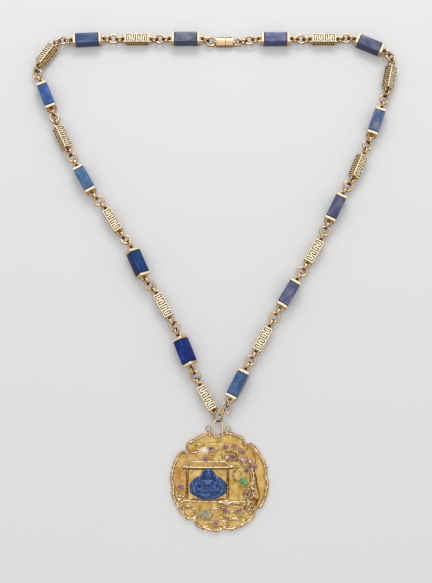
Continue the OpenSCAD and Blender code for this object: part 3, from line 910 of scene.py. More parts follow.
def string_rings(path, roll_a, roll_b, rings, inset_a, inset_b, wire):
    """Rings strung along a path, as rows of place matrix, radius and upright or not."""
    size = sum((b - a).length for a, b in zip(path, path[1:]))
    grip = wire + TOUCH
    places = [inset_a + rings[0][0]]
    for (radius, _), (before, _) in zip(rings[1:], rings):
        places.append(places[-1] + before + radius - grip)
    slack = places[-1] + rings[-1][0] + inset_b - size
    last = len(rings) - 1
    spots = []
    for k, (radius, upright) in enumerate(rings):
        s = places[k] - slack * (SLACK_BEFORE + SLACK_AMONG * k / last)
        point, direction = at_distance(path, s)
        height = max(point.z, radius + wire / 2 if upright else 0)
        spots.append((point, direction, height, s))
    rows = []
    for k, ((radius, upright), (point, direction, height, s)) in enumerate(zip(rings, spots)):
        climb = 0
        if not upright:
            before = path[0].z if k == 0 else spots[k - 1][2]
            after = path[-1].z if k == last else spots[k + 1][2]
            height = (before + after) / 2
            climb = math.degrees(math.atan2(after - before, 2 * radius))
        heading = math.degrees(math.atan2(direction.y, direction.x))
        roll = roll_a + (roll_b - roll_a) * s / size + (90 if upright else 0)
        rows.append((spot(point.x, point.y, height, heading, roll, climb), radius, upright))
    return rows


def wire_ring(radius, wire, start):
    """Round jump ring with its ends butted together at one place."""
    gap = math.degrees(0.03 / radius)
    return sweep(arc(radius, start + gap, start + 360 - gap, 60), wire / 2, WIRE_SIDES)


def split_ring(radius, wire, start):
    """Ring of two turns of wire lying side by side."""
    steps = 96
    turns = []
    for k in range(steps + 1):
        a = math.radians(start + 720 / steps * k)
        turns.append((radius * math.cos(a), radius * math.sin(a), wire * (k / steps - 0.5) * 0.95))
    return sweep(turns, wire / 2, 12)


class SAUTOIR_OT_jump_rings(Operator):
    """Add the round rings between the bars, the links and the clasp."""

    bl_idname = "sautoir.jump_rings"
    bl_label = "Jump rings"

    def execute(self, context):
        sizes = context.scene.sautoir_chain
        wire = in_mm(sizes.ring_wire)
        small = (in_mm(sizes.small_ring), True)
        large = (in_mm(sizes.large_ring), False)
        sides = (in_mm(sizes.cap_side), in_mm(sizes.link_side))
        bar_half = in_mm(sizes.stone_length) / 2 + PLAY + in_mm(sizes.cap_thickness)
        halves = (bar_half, in_mm(sizes.link_length) / 2)
        inset = LOOP_REACH - (LOOP_WIRE + wire) / 2 - TOUCH
        eye_inset = EYE_REACH - (EYE_WIRE + wire) / 2 - TOUCH
        rng = random.Random(4)

        def end_of(row, kind, side):
            """Middle of the front (1) or back (-1) end of a bar (0) or a link (1)."""
            x, y, heading, roll = row
            return Vector((x, y, lift(sides[kind], roll))) + side * halves[kind] * along(heading)

        def clasp_end(side):
            return Vector((CLASP[0] + side * CLASP_LENGTH / 2, CLASP[1], CLASP_HEIGHT / 2))

        def chain_of(rows):
            strung = []
            for k, (a, b) in enumerate(zip(rows, rows[1:])):
                path = curve_between(end_of(a, k % 2, 1), a[2], end_of(b, (k + 1) % 2, -1), b[2])
                strung += string_rings(path, a[3], b[3], [small, large, small], inset, inset, wire)
            return strung

        path = curve_between(end_of(RIGHT_SIDE[-1], 0, 1), 180, clasp_end(1), 180)
        flat = (small[0], False)
        near_tongue = string_rings(path, 0, 0, [small, large, small, flat], inset, eye_inset, wire)
        path = curve_between(clasp_end(-1), 180, end_of(LEFT_SIDE[0], 0, -1), 180)
        near_box = string_rings(path, 0, 0, [large, small], eye_inset, inset, wire)
        fields = {"right": chain_of(RIGHT_SIDE) + near_tongue, "left": near_box + chain_of(LEFT_SIDE)}
        for side, rows in fields.items():
            parts = []
            for matrix, radius, upright in rows:
                in_millimetres = matrix.copy()
                in_millimetres.translation = matrix.translation / MM
                start = rng.uniform(0, 360)
                choices = [split_ring(radius, wire * 0.9, start)] if upright else []
                choices.append(wire_ring(radius - wire * (SWELL - 1) / 2, wire * SWELL, start))
                choices.append(wire_ring(radius, wire * 0.98, start))
                placed = [moved(ring, in_millimetres) for ring in choices]
                parts.append(next((ring for ring in placed if fits(ring)), placed[-1]))
            piece("rings_" + side, merge(parts), ring_gold(), "chain_gold", None, ["jump_rings_" + side])
        return {"FINISHED"}


# Clasp


def figure_of_eight(radius, reach, steps=20):
    """Closed path of two loops joined by wires that cross one over the other."""
    half = reach / 2
    lean = math.degrees(math.asin(radius / half))
    open_half = 90 - lean
    path = []
    for side, start, end in ((1, open_half, 360 - open_half), (-1, 180 - open_half, -180 + open_half)):
        path += arc(radius, start, end, steps, (-side * half, 0))
        for t in (-0.35, 0.0, 0.35):
            path.append((side * half * t, half * t * math.tan(math.radians(lean)), side * 0.16))
    return path


class SAUTOIR_OT_clasp(Operator):
    """Add the clasp's box, its tongue and the safety catch."""

    bl_idname = "sautoir.clasp"
    bl_label = "Clasp"

    def execute(self, context):
        place = spot(CLASP[0], CLASP[1], 0)
        half = CLASP_LENGTH / 2
        middle = CLASP_HEIGHT / 2
        eye = moved(wire_loop(EYE_REACH, EYE_RADIUS, EYE_WIRE), turn(90, "X"))

        box_length = CLASP_LENGTH - TONGUE_BLOCK - PLAY
        housing = rounded_box((box_length, CLASP_WIDTH, CLASP_HEIGHT), 0.35, 4)
        housing = moved(housing, shift(-half + box_length / 2, 0, middle))
        barrel = lathe([(0.45, -0.45), (0.76, -0.45), (0.76, 0.45), (0.45, 0.45), (0.45, -0.45)], 24)
        barrel = moved(barrel, shift(CATCH_X - CATCH_RADIUS + 0.03, CATCH_Y, CATCH_HEIGHT))
        box_eye = moved(eye, shift(-half, 0, middle) @ turn(180, "Z"))
        box = merge([housing, barrel, box_eye])
        piece("clasp_housing", box, clasp_gold(), "chain_gold", place, ["clasp_box"])

        block = rounded_box((TONGUE_BLOCK, CLASP_WIDTH, CLASP_HEIGHT), 0.35, 4)
        block = moved(block, shift(half - TONGUE_BLOCK / 2, 0, middle))
        leaf = moved(rounded_box(LEAF, 0.15, 2), shift(half - TONGUE_BLOCK - LEAF[0] / 2 + 0.2, 0, middle))
        post = CATCH_Y - CLASP_WIDTH / 2 + CATCH_WIRE / 2 + 0.1
        knob = [(0, -0.3), (0.85, -0.3), (0.85, post), (1.05, post), (1.1, post + 0.12)]
        knob += [(0.95, post + 0.3), (0.5, post + 0.4), (0, post + 0.42)]
        knob_place = shift(CATCH_X + CATCH_REACH, CLASP_WIDTH / 2, CATCH_HEIGHT) @ turn(-90, "X")
        tongue = merge([block, leaf, moved(lathe(knob, 24), knob_place), moved(eye, shift(half, 0, middle))])
        piece("clasp_tongue_block", tongue, clasp_gold(), "chain_gold", place, ["clasp_tongue"])

        eight = sweep(figure_of_eight(CATCH_RADIUS, CATCH_REACH), CATCH_WIRE / 2, 12, closed=True)
        eight = moved(eight, shift(CATCH_X + CATCH_REACH / 2, CATCH_Y, CATCH_HEIGHT) @ turn(90, "X"))
        piece("catch_wire", eight, clasp_gold(), "chain_gold", place, ["safety_catch"], body=CATCH_BODY)
        return {"FINISHED"}


# Pendant

# Rings over the pendant: middle, lean, direction of the lean, radius, wire
PENDANT_RINGS = [
    ((0.8, -77.7, 3.45), 47, 207, 3.85, 1.2),
    ((3.7, -76.1, 5.4), 90, 135, 2.45, 1.1),
    ((6.0, -73.6, 3.8), 15, 0, 3.0, 1.1),
    ((7.5, -70.5, 3.2), 90, 155, 2.45, 1.1),
]

# Notches between the lobes: angle, depth, half width
NOTCHES = [
    (6, 1.0, 5),
    (55, 2.6, 4),
    (93, 2.6, 7),
    (138.5, 2.6, 4),
    (186, 1.0, 6),
    (236, 2.2, 4.5),
    (275, 1.4, 5),
    (322, 2.6, 4.5),
]

# Across the rim: share of its width, share of its height, tarnishing with painted shade in its grooves,
# burnishing with painted highlight on its ridges
RIM = [
    (0.0, 0.5, 0.0, 0.9),
    (0.1, 0.66, 0.0, 1.0),
    (0.21, 0.58, 0.6, 0.2),
    (0.31, 0.86, 0.1, 0.7),
    (0.45, 1.0, 0.0, 1.0),
    (0.6, 0.86, 0.05, 0.7),
    (0.74, 0.6, 0.6, 0.1),
    (0.87, 0.54, 0.2, 0.1),
    (1.0, 0.52, 0.0, 0.0),
]

# Rods of the pavilion and of the tree: points, widths, height over the plate
PAVILION = [
    ([(-16.6, 11.5), (-10, 11.2), (-4, 11.2), (3.4, 11.5)], [0.5, 0.4, 0.4, 0.5], 1.0),
    ([(-22.2, 8.4), (-18, 8.0), (-7, 7.9), (4, 8.0), (8.4, 8.4)], [0.25, 0.45, 0.45, 0.45, 0.25], 1.0),
    ([(-22.0, 8.6), (-19.6, 9.3), (-17.8, 10.6), (-16.6, 11.9)], [0.3, 0.4, 0.4, 0.35], 1.05),
    ([(8.4, 8.6), (6.0, 9.4), (4.6, 10.7), (3.6, 11.9)], [0.3, 0.4, 0.4, 0.35], 1.05),
    ([(-20.6, -11.4), (-12, -11.9), (-4, -12.0), (5.6, -11.7)], [0.35, 0.5, 0.5, 0.4], 0.3),
    ([(-1.2, -12.5), (3.6, -12.8), (8.4, -12.4), (13.0, -12.2), (16.6, -12.4)],
     [0.3, 0.5, 0.45, 0.45, 0.3], 0.4),
]
TREE = [
    ([(18.9, -15.0), (20.0, -13.2), (20.7, -10.6), (20.4, -8.4)], [1.0, 1.3, 1.6, 0.9], 0.5),
    ([(20.4, -8.4), (19.7, -5.6), (20.5, -3.4), (19.9, -1.2), (20.4, 2.0), (20.1, 5.4), (18.6, 8.6)],
     [0.9, 0.65, 0.8, 0.65, 0.65, 0.5, 0.4], 0.6),
    ([(20.2, -5.2), (18.6, -3.9), (16.6, -5.4)], [0.6, 0.75, 0.35], 0.7),
    ([(19.4, -12.4), (16.4, -11.2), (14.7, -8.6), (15.0, -5.6)], [0.7, 0.5, 0.4, 0.3], 0.6),
    ([(19.2, 8.2), (16.0, 9.6), (11.2, 12.0), (9.6, 17.0), (6.4, 17.3), (3.8, 17.2)],
     [0.5, 0.4, 0.38, 0.34, 0.3, 0.25], 0.5),
    ([(11.2, 12.0), (8.0, 11.9), (4.6, 12.0)], [0.35, 0.3, 0.2], 0.4),
    ([(11.3, 8.1), (9.2, 5.9), (7.8, 3.7), (8.4, 1.6), (10.0, -0.2), (12.0, -0.4)],
     [0.4, 0.42, 0.45, 0.42, 0.4, 0.3], 0.4),
    ([(15.6, -3.8), (15.9, -2.2), (17.3, -1.3), (18.6, -2.0)], [0.3, 0.34, 0.34, 0.25], 0.6),
    ([(15.4, -17.0), (15.3, -15.0), (16.6, -13.9), (18.2, -14.3), (19.2, -16.0), (19.0, -17.4)],
     [0.35, 0.45, 0.45, 0.45, 0.4, 0.3], 0.5),
    ([(12.6, 10.6), (13.6, 8.4), (15.2, 8.0)], [0.3, 0.3, 0.2], 0.4),
]

# Knots of the tree: place, height over the plate, radius
KNOTS = [
    (19.7, 0.0, 1.2, 0.9), (18.9, -1.6, 0.8, 0.6), (20.6, -6.6, 1.3, 0.8), (20.0, 3.6, 1.1, 0.5),
    (17.4, -12.8, 0.9, 0.6),
]

# Burrs on the trunk: place, radius
BURRS = [
    (20.9, 1.3, 0.5), (19.2, 2.9, 0.45), (21.0, 4.6, 0.45), (19.4, 6.8, 0.5), (20.9, -0.8, 0.4),
    (19.1, -3.4, 0.5), (21.1, -4.8, 0.5), (18.8, -6.8, 0.55), (21.6, -9.0, 0.55), (19.2, -9.8, 0.6),
    (21.7, -11.8, 0.5), (19.0, -13.9, 0.5), (17.6, 9.8, 0.45), (14.6, 10.9, 0.4), (12.2, 13.4, 0.4),
    (9.2, 16.0, 0.4), (6.4, 12.9, 0.4), (18.2, 8.0, 0.4),
]

# Brush strokes of clouds and waves: middle, radius, start and end angle, width
STROKES = [
    (-2.6, -22.0, 6.0, 55, 125, 1.0), (4.4, -8.4, 5.2, 235, 305, 0.9), (10.4, -17.6, 4.6, 55, 125, 0.9),
    (8.6, -28.4, 6.4, 55, 125, 1.1), (16.4, -24.6, 5.2, 75, 130, 1.0), (-19.0, -19.6, 5.0, 60, 120, 1.1),
    (-14.6, -11.4, 5.0, 240, 300, 0.8), (7.8, -21.8, 4.2, 70, 120, 0.9), (4.6, -20.0, 1.6, 30, 300, 0.7),
    (12.2, -20.6, 1.5, -60, 220, 0.7), (-12.6, 15.2, 6.6, 62, 108, 0.9), (-15.4, 22.4, 5.6, 240, 300, 0.9),
    (-5.6, 16.6, 3.2, 0, 50, 0.9), (-3.6, 18.0, 3.0, 200, 260, 0.8), (1.4, -28.0, 4.8, 50, 120, 0.9),
    (-16.2, -15.0, 3.0, 200, 290, 0.8), (0.4, -18.6, 3.4, 20, 90, 0.7), (2.6, -25.8, 3.0, 30, 100, 0.8),
    (7.0, -20.8, 5.4, 200, 250, 0.8), (9.8, -24.6, 3.2, 60, 140, 0.8), (17.2, -20.4, 2.4, 90, 230, 0.7),
    (-14.8, -24.2, 3.4, 50, 130, 0.8), (-19.6, -18.4, 2.2, 100, 220, 0.7), (-6.4, -26.0, 3.6, 60, 130, 0.7),
    (-12.8, 20.4, 1.6, 160, 340, 0.6), (1.0, 16.4, 2.6, 60, 150, 0.7), (14.8, 20.6, 2.6, 200, 320, 0.6),
    (-17.6, 14.8, 2.2, 90, 200, 0.7), (22.6, -18.0, 3.0, 130, 200, 0.6),
]

# Lumps like small beads: place, radius, height over the plate
LUMPS = [
    (-25.5, -6.8, 0.75, 0.2), (-23.6, -8.7, 1.1, 0.2), (-21.8, -9.1, 0.8, 0.2), (-21.2, -11.5, 1.0, 0.2),
    (-22.6, -12.3, 0.9, 0.2), (-24.2, -10.8, 1.3, 0.2), (-25.1, -13.6, 0.9, 0.2), (-22.6, -10.4, 0.7, 0.4),
    (-23.4, -14.4, 0.8, 0.2), (16.2, -16.4, 0.7, 0.2), (17.7, -16.6, 0.9, 0.2), (14.0, -15.6, 0.6, 0.2),
    (9.4, 8.4, 0.7, 0.4), (10.9, 8.3, 0.75, 0.4), (17.3, -4.4, 0.8, 0.5), (12.6, -3.9, 0.6, 0.2),
    (21.6, -16.8, 0.7, 0.2), (-17.1, 10.7, 0.6, 1.2), (-21.4, -16.0, 0.6, 0.2), (-19.4, -13.4, 0.6, 0.2),
]

# Lines engraved in the field: points, half width, depth
ENGRAVED = [
    ([(20.6, 5.5), (21.9, 1.7), (22.3, -2.8), (23.3, -5.8), (23.8, -8.5), (23.5, -10.3), (21.9, -11.9),
      (21.5, -14.3)], 0.42, 0.5),
    ([(19.8, -15.6), (20.0, -18.4), (19.8, -21.0)], 0.35, 0.4),
    ([(-22.0, 7.3), (-7, 7.2), (8.2, 7.4)], 0.45, 0.4),
    ([(-19.5, 7.4), (-19.4, 0), (-19.6, -9.5)], 0.75, 0.3),
    ([(5.0, 7.4), (5.1, 0), (4.9, -9.5)], 0.75, 0.3),
    ([(-17.0, -11.0), (-12.0, -11.3), (-2.0, -11.3), (3.0, -11.0)], 0.4, 0.3),
    ([(-1.0, -13.5), (3.6, -13.9), (8.4, -13.4), (14.0, -13.6)], 0.3, 0.35),
    ([(-1.4, -14.7), (4.0, -15.2), (9.0, -14.5), (14.6, -14.9)], 0.28, 0.35),
    ([(-0.6, -16.0), (2.0, -16.2), (5.6, -15.9), (9.6, -16.0)], 0.28, 0.3),
    ([(-16.6, 16.0), (-15.4, 17.2), (-13.9, 17.7)], 0.4, 0.35),
    ([(-6.8, 15.0), (-3.7, 15.1)], 0.22, 0.25),
    ([(-6.6, 12.7), (-3.7, 12.6)], 0.22, 0.25),
    ([(-12.9, 12.8), (-10.8, 12.6)], 0.25, 0.25),
    ([(-21.4, -15.6), (-19.4, -16.4), (-17.2, -15.7)], 0.35, 0.35),
    ([(-6.6, 22.4), (-3.0, 22.9), (0.6, 22.6)], 0.3, 0.3),
    ([(1.4, 15.6), (2.0, 13.6), (1.6, 12.8)], 0.3, 0.3),
    ([(6.2, 15.6), (6.4, 13.0)], 0.3, 0.3),
    ([(11.4, 19.0), (12.0, 16.6), (11.4, 14.6)], 0.3, 0.3),
    ([(16.4, 14.6), (17.0, 12.4), (16.2, 10.4)], 0.35, 0.3),
    ([(12.2, 5.6), (13.4, 4.0), (12.4, 2.8)], 0.28, 0.25),
    ([(18.0, 4.6), (18.6, 2.0), (18.2, -0.4)], 0.4, 0.3),
    ([(17.4, -6.0), (18.4, -8.6), (17.8, -10.4)], 0.35, 0.3),
    ([(1.8, -20.4), (4.0, -22.4), (9.4, -22.8)], 0.35, 0.35),
    ([(9.0, -18.8), (11.6, -19.6), (14.4, -18.9)], 0.3, 0.3),
    ([(-2.4, -21.4), (0.4, -20.2), (2.4, -18.6)], 0.3, 0.3),
    ([(-5.6, -27.0), (0.4, -26.6), (6.4, -26.2)], 0.3, 0.3),
    ([(-18.0, -21.2), (-15.4, -20.4), (-14.4, -18.4)], 0.35, 0.3),
    ([(-12.0, -26.2), (-9.0, -25.4), (-5.0, -25.3)], 0.3, 0.3),
]

# Orange-brown patches of the field: place, radius. The three near y -11, below the figure's base, are a
# painted shadow
ORANGE = [
    (-24.4, 5.4, 3.6), (-24.8, 0.0, 3.2), (-25.4, -4.4, 2.2), (21.4, 16.4, 3.4), (18.6, 20.0, 2.2),
    (-23.0, -17.0, 2.4), (-17.0, 17.0, 2.4), (-7.0, -10.6, 3.2), (-14.6, -11.4, 2.0), (0.4, -10.8, 2.0),
]

# Raised ground on the right: y, then x of its left border, and its height
GROUND_BORDER = [(-15, 21.6), (-11, 23.4), (-6, 23.4), (0, 22.3), (5.5, 21.0), (12, 21.8), (18, 20.2)]
GROUND_RISE = 0.5

# Roof of the pavilion, seen from above
ROOF = [
    (-22.4, 8.1), (-20.8, 8.5), (-19.2, 9.1), (-17.9, 10.4), (-16.4, 11.7), (-14.6, 11.3), (2.0, 11.3),
    (3.4, 11.7), (4.7, 10.4), (6.0, 9.2), (7.0, 8.6), (8.6, 8.1), (6.4, 7.6), (-20.4, 7.6),
]
ROOF_HEIGHT = 0.95
RIBS = 12
POSTS = (-19.5, 5.0)

# Places of the stones, of the figure and of the bail on the medallion
PINK_STONES = [
    (-5.1, 18.9), (-8.4, 12.8), (-23.4, -3.8), (3.7, 20.3), (9.1, 20.3), (14.0, 17.3),
    (4.4, 14.1), (8.2, 14.1), (13.9, 12.6), (18.5, 11.7), (21.0, 8.4), (16.4, 6.3),
    (16.7, -8.0), (3.4, -17.1), (11.6, -17.2), (-2.3, -24.6),
]
OPAL = (-9.5, 17.8)
OPAL_SIZE = (5.4, 4.1, 2.6)
BEAD = (14.4, -0.4)
BEAD_HEIGHT = 4.5
JADE = (-8.6, -19.8)
JADE_TURN = -14
FIGURE = (-6.8, -11.0)
BAIL = (-0.7, 34.3)
BAIL_FOOT = 26.4
BAIL_HEIGHT = 2.5
BAIL_RADIUS = 2.5
BAIL_WIRE = 1.0
SCROLL_RADIUS = 1.5

# Facets round a cut stone's table
FACETS = 10
# Length of a step along a worked rod
ROD_STEP = 0.35


def lobed(angle, radius):
    """Outline radius at an angle in degrees."""
    cut = 0
    for notch, depth, width in NOTCHES:
        away = abs((angle - notch + 540) % 360 - 180)
        cut += depth * np.exp(-(away / width) ** 2)
    return radius - cut


def grain(x, y, size, seed):
    """Smooth noise from 0 to 1 whose features are about this size."""
    cells = 64
    far = 1000.0
    lattice = np.random.default_rng(seed).random((cells, cells))
    u = np.asarray(x) / size + far
    v = np.asarray(y) / size + far
    iu = np.floor(u).astype(int)
    iv = np.floor(v).astype(int)
    fu = u - iu
    fv = v - iv
    fu = fu * fu * (3 - 2 * fu)
    fv = fv * fv * (3 - 2 * fv)
    a = lattice[iu % cells, iv % cells]
    b = lattice[(iu + 1) % cells, iv % cells]
    c = lattice[iu % cells, (iv + 1) % cells]
    d = lattice[(iu + 1) % cells, (iv + 1) % cells]
    return (a * (1 - fu) + b * fu) * (1 - fv) + (c * (1 - fu) + d * fu) * fv


def smooth_step(low, high, value):
    t = np.clip((value - low) / (high - low), 0, 1)
    return t * t * (3 - 2 * t)


def away_from(line, x, y):
    """Distance of points from a polyline."""
    away = np.full(np.shape(x), 1e9)
    for a, b in zip(line, line[1:]):
        run = b[0] - a[0]
        rise = b[1] - a[1]
        t = np.clip(((x - a[0]) * run + (y - a[1]) * rise) / (run * run + rise * rise), 0, 1)
        away = np.minimum(away, np.hypot(x - a[0] - t * run, y - a[1] - t * rise))
    return away


def closeness(line, x, y, width, power=2):
    """How close points are to a polyline: 1 on it, and fading over the width."""
    return np.exp(-(away_from(line, x, y) / width) ** power)


def plate_field(x, y, plate, laid):
    """Height of the field inside the rim, its tarnishing with painted shade, its burnishing with painted
    highlight, and its orange.
    """
    field = plate + 0.3 * (grain(x, y, 3.4, 1) - 0.5) + 0.12 * (grain(x, y, 1.3, 2) - 0.5)
    tarnish_and_shade = 0.22 * smooth_step(0.5, 0.9, grain(x, y, 1.3, 7))
    polish_and_highlight = 0.25 * smooth_step(0.5, 0.9, grain(x, y, 1.6, 8))
    border = np.interp(y, *zip(*GROUND_BORDER))
    ground = smooth_step(-0.3, 0.3, x - border) * smooth_step(-15.5, -14, y) * smooth_step(19.5, 17, y)
    field += GROUND_RISE * ground
    tarnish_and_shade *= 1 - 0.8 * ground
    polish_and_highlight *= 1 - ground
    # Engraved lines are darkened by tarnishing and painted shade
    for line, width, depth in ENGRAVED:
        cut = closeness(line, x, y, width)
        field -= depth * cut
        tarnish_and_shade = np.maximum(tarnish_and_shade, 0.75 * cut)
        polish_and_highlight *= 1 - cut
    # Painted shade round the foot of each rod laid on the plate
    for line, width in laid:
        foot = closeness(line, x, y, width + 0.34, 6)
        tarnish_and_shade = np.maximum(tarnish_and_shade, 0.5 * foot)
        polish_and_highlight *= 1 - foot
    orange = 0.2 * ground
    for px, py, size in ORANGE:
        orange = np.maximum(orange, np.exp(-((x - px) ** 2 + (y - py) ** 2) / size ** 2))
    orange *= 0.4 + 0.8 * grain(x, y, 1.2, 9)
    return field, tarnish_and_shade, polish_and_highlight, orange


def plate_mesh(radius, plate, rim_height, rim_width, laid):
    """Medallion plate with its beaten rim, engraved field and flat back, and its tarnishing, burnishing and
    painted light. The plate has painted shade round the foot of the rods laid on it, each a polyline with a
    half width."""
    around = 620
    fractions = np.concatenate([np.linspace(0, 0.89, 92)[1:], np.linspace(0.89, 1.0, 34)[1:]])
    angle = np.arange(around) * 360 / around
    edge = lobed(angle, radius)
    r = fractions[:, None] * edge[None, :]
    x = r * np.cos(np.radians(angle))
    y = r * np.sin(np.radians(angle))
    inward = edge[None, :] - r
    field, tarnish_and_shade, polish_and_highlight, orange = plate_field(x, y, plate, laid)

    shares, heights, dark, bright = np.array(RIM).T
    wander = 0.12 * (grain(x, y, 2.6, 4) - 0.5) * smooth_step(0, 0.4, inward)
    share = np.clip(inward / rim_width + wander, 0, 1)
    lumps = 1 - 0.3 * grain(x, y, 1.4, 5) * smooth_step(0.2, 0.8, inward)
    rim = rim_height * np.interp(share, shares, heights) * np.where(inward < 0.7 * rim_width, lumps, 1)
    dashes = 0.1 + 0.9 * smooth_step(0.4, 0.6, grain(x, y, 1.2, 6))
    # Rim grooves darkened by tarnishing and painted shade, ridges lightened by polish and painted highlight
    rim_dark = np.interp(share, shares, dark) * dashes * (1 - 0.45 * smooth_step(-18, -24, y))
    rim_dark = np.maximum(rim_dark, 0.5 * smooth_step(0.62, 0.8, grain(x, y, 0.9, 14)))
    rim_bright = np.interp(share, shares, bright) * (0.35 + 1.1 * grain(x, y, 1.1, 10))
    mixed = smooth_step(0.78, 1.0, share)
    height = rim * (1 - mixed) + field * mixed
    tarnish_and_shade = rim_dark * (1 - mixed) + tarnish_and_shade * mixed
    polish_and_highlight = rim_bright * (1 - mixed) + polish_and_highlight * mixed

    count = len(fractions)
    following = [(k, (k + 1) % around) for k in range(around)]
    verts = [Vector((0, 0, float(plate)))]
    verts += [Vector(p) for p in np.stack([x, y, height], -1).reshape(-1, 3).tolist()]
    faces = [[0, 1 + k, 1 + m] for k, m in following]
    for i in range(count - 1):
        a = 1 + i * around
        b = a + around
        faces += [[a + k, b + k, b + m, a + m] for k, m in following]
    last = 1 + (count - 1) * around
    chamfer = 0.25
    for inset, z in ((0.0, chamfer), (chamfer, 0.0)):
        start = len(verts)
        for k in range(around):
            a = math.radians(angle[k])
            verts.append(Vector(((edge[k] - inset) * math.cos(a), (edge[k] - inset) * math.sin(a), z)))
        faces += [[last + k, start + k, start + m, last + m] for k, m in following]
        last = start
    centre = len(verts)
    verts.append(Vector((0, 0, 0)))
    faces += [[centre, last + m, last + k] for k, m in following]
    paint = np.zeros((len(verts), 4))
    paint[:, 1] = 0.9
    colours = np.stack([tarnish_and_shade, polish_and_highlight, orange * mixed, np.ones_like(x)], -1)
    paint[1:1 + count * around] = colours.reshape(-1, 4)
    return (verts, faces), np.clip(paint, 0, 1)


def painted(rows, age=0.35, copper=0.0):
    """Parts merged, with their tarnishing and painted light, speckled by their age and reddened by copper. A
    row is a part, the height up to which it is tarnished and darkened with painted shade, and that from which
    it is burnished and lightened with a painted highlight."""
    paint = []
    for part, foot, crest in rows:
        x, y, z = np.array([tuple(v) for v in part[0]]).T
        speckled = age * smooth_step(0.45, 0.7, grain(x, y, 0.9, 13))
        tarnish_and_shade = np.maximum(1 - smooth_step(foot - 0.25, foot + 0.15, z), speckled)
        polish_and_highlight = smooth_step(crest - 0.3, crest, z) * (0.55 + 0.7 * grain(x, y, 1.0, 11))
        reddish = copper * grain(x, y, 1.4, 15)
        paint.append(np.stack([tarnish_and_shade, polish_and_highlight, reddish, np.ones_like(z)], -1))
    return merge([row[0] for row in rows]), np.clip(np.concatenate(paint), 0, 1)


def worked_rod(points, widths, height, seed, rough=0.15):
    """Rod laid on the plate along points, with widths, gently lumpy as cast work is."""
    pts = [Vector((p[0], p[1], 0)) for p in points]
    spans = [(b - a).length for a, b in zip(pts, pts[1:])]
    total = sum(spans)
    steps = max(4, int(total / ROD_STEP))
    path = []
    radii = []
    for k in range(steps + 1):
        s = total * k / steps
        i = 0
        while i < len(spans) - 1 and s > spans[i]:
            s -= spans[i]
            i += 1
        t = s / spans[i]
        a, b = pts[i], pts[i + 1]
        before = pts[max(i - 1, 0)]
        after = pts[min(i + 2, len(pts) - 1)]
        p = 2 * a + (b - before) * t
        p += (2 * before - 5 * a + 4 * b - after) * t * t
        p += (3 * a - before - 3 * b + after) * t ** 3
        p *= 0.5
        width = widths[i] + (widths[i + 1] - widths[i]) * t
        lump = 1 + rough * (float(grain(p.x, p.y, 0.9, seed)) - 0.5) * 2
        path.append((p.x, p.y, height))
        radii.append(max(0.05, width * lump))
    return sweep(path, radii, 10, flat=0.8)


def stroke(x, y, radius, start, end, width, height, seed):
    """Curved brush stroke, thin at both ends."""
    steps = 9
    points = arc(radius, start, end, steps, (x, y))
    widths = [width / 2 * (0.2 + 0.8 * math.sin(math.pi * k / steps)) for k in range(steps + 1)]
    return worked_rod(points, widths, height, seed)


def pink_setting(x, y, plate, radius):
    """Round collet with a bright edge and small claws of grained gold."""
    outer = radius + 0.28
    inner = radius + 0.02
    top = plate + 1.5
    cup = [(outer - 0.1, plate - 0.3), (outer, plate + 0.2), (outer, plate + 1.25), (outer - 0.12, top)]
    cup += [(inner, top), (inner - 0.1, plate + 1.0), (inner - 0.1, plate + 0.1)]
    parts = [lathe(cup, 24)]
    for k in range(5):
        a = math.radians(72 * k + 20)
        place = (0.92 * outer * math.cos(a), 0.92 * outer * math.sin(a), top)
        parts.append(ball(0.28, place, rings=6, steps=8))
    return moved(merge(parts), shift(x, y, 0))


def cut_stone(x, y, plate, radius, spin):
    """Round brilliant: pavilion, girdle, crown facets and a table."""
    base = plate + 0.35
    girdle = base + 0.95
    top = FACETS * 2
    pavilion = lathe([(0, base + 0.1), (radius * 0.98, base + 0.85), (radius, girdle)], top)
    verts = []
    for steps, share, z in ((top, 1, girdle), (FACETS, 0.6, base + 1.45)):
        for k in range(steps):
            a = math.radians(360 / steps * k)
            verts.append(Vector((share * radius * math.cos(a), share * radius * math.sin(a), z)))
    faces = []
    for k in range(FACETS):
        m = (k + 1) % FACETS
        faces.append([2 * k, 2 * k + 1, top + k])
        faces.append([2 * k + 1, (2 * k + 2) % top, top + m])
        faces.append([2 * k + 1, top + m, top + k])
    faces.append([top + k for k in range(FACETS)])
    return moved(merge([pavilion, (verts, faces)]), shift(x, y, 0) @ turn(spin, "Z"))


def laid_lines(sizes):
    """Middle line and half width of everything that is soldered on the plate."""
    lines = [(points, max(widths)) for points, widths, height in PAVILION + TREE]
    for x, y, radius, start, end, width in STROKES:
        lines.append((arc(radius, start, end, 6, (x, y)), width / 2))
    rounds = [(x, y, radius) for x, y, radius, height in LUMPS]
    rounds += [(x, y, in_mm(sizes.pink_stone) / 2 + 0.2) for x, y in PINK_STONES]
    return lines + [([(x - 0.1, y), (x + 0.1, y)], radius) for x, y, radius in rounds]


def pavilion_rows(plate):
    """Roof with its ridge, eaves and ribs, and the floor, as rows for painted."""
    roof = raised_polygon(ROOF, plate - 0.3, plate + ROOF_HEIGHT, 0.3)
    rows = [(roof, plate + 0.6, plate + 2.0)]
    for k, (points, widths, height) in enumerate(PAVILION):
        top = plate + height + 0.75 * max(widths)
        rows.append((worked_rod(points, widths, plate + height, 21 + k), plate + 0.3, top - 0.05))
    for k in range(RIBS):
        x = -16.5 + 1.6 * k
        rib = worked_rod([(x * 0.9 - 0.7, 11.0), (x, 8.4)], [0.2, 0.2], plate + 0.98, 25, rough=0.05)
        rows.append((rib, plate + 0.9, plate + 1.25))
    return rows


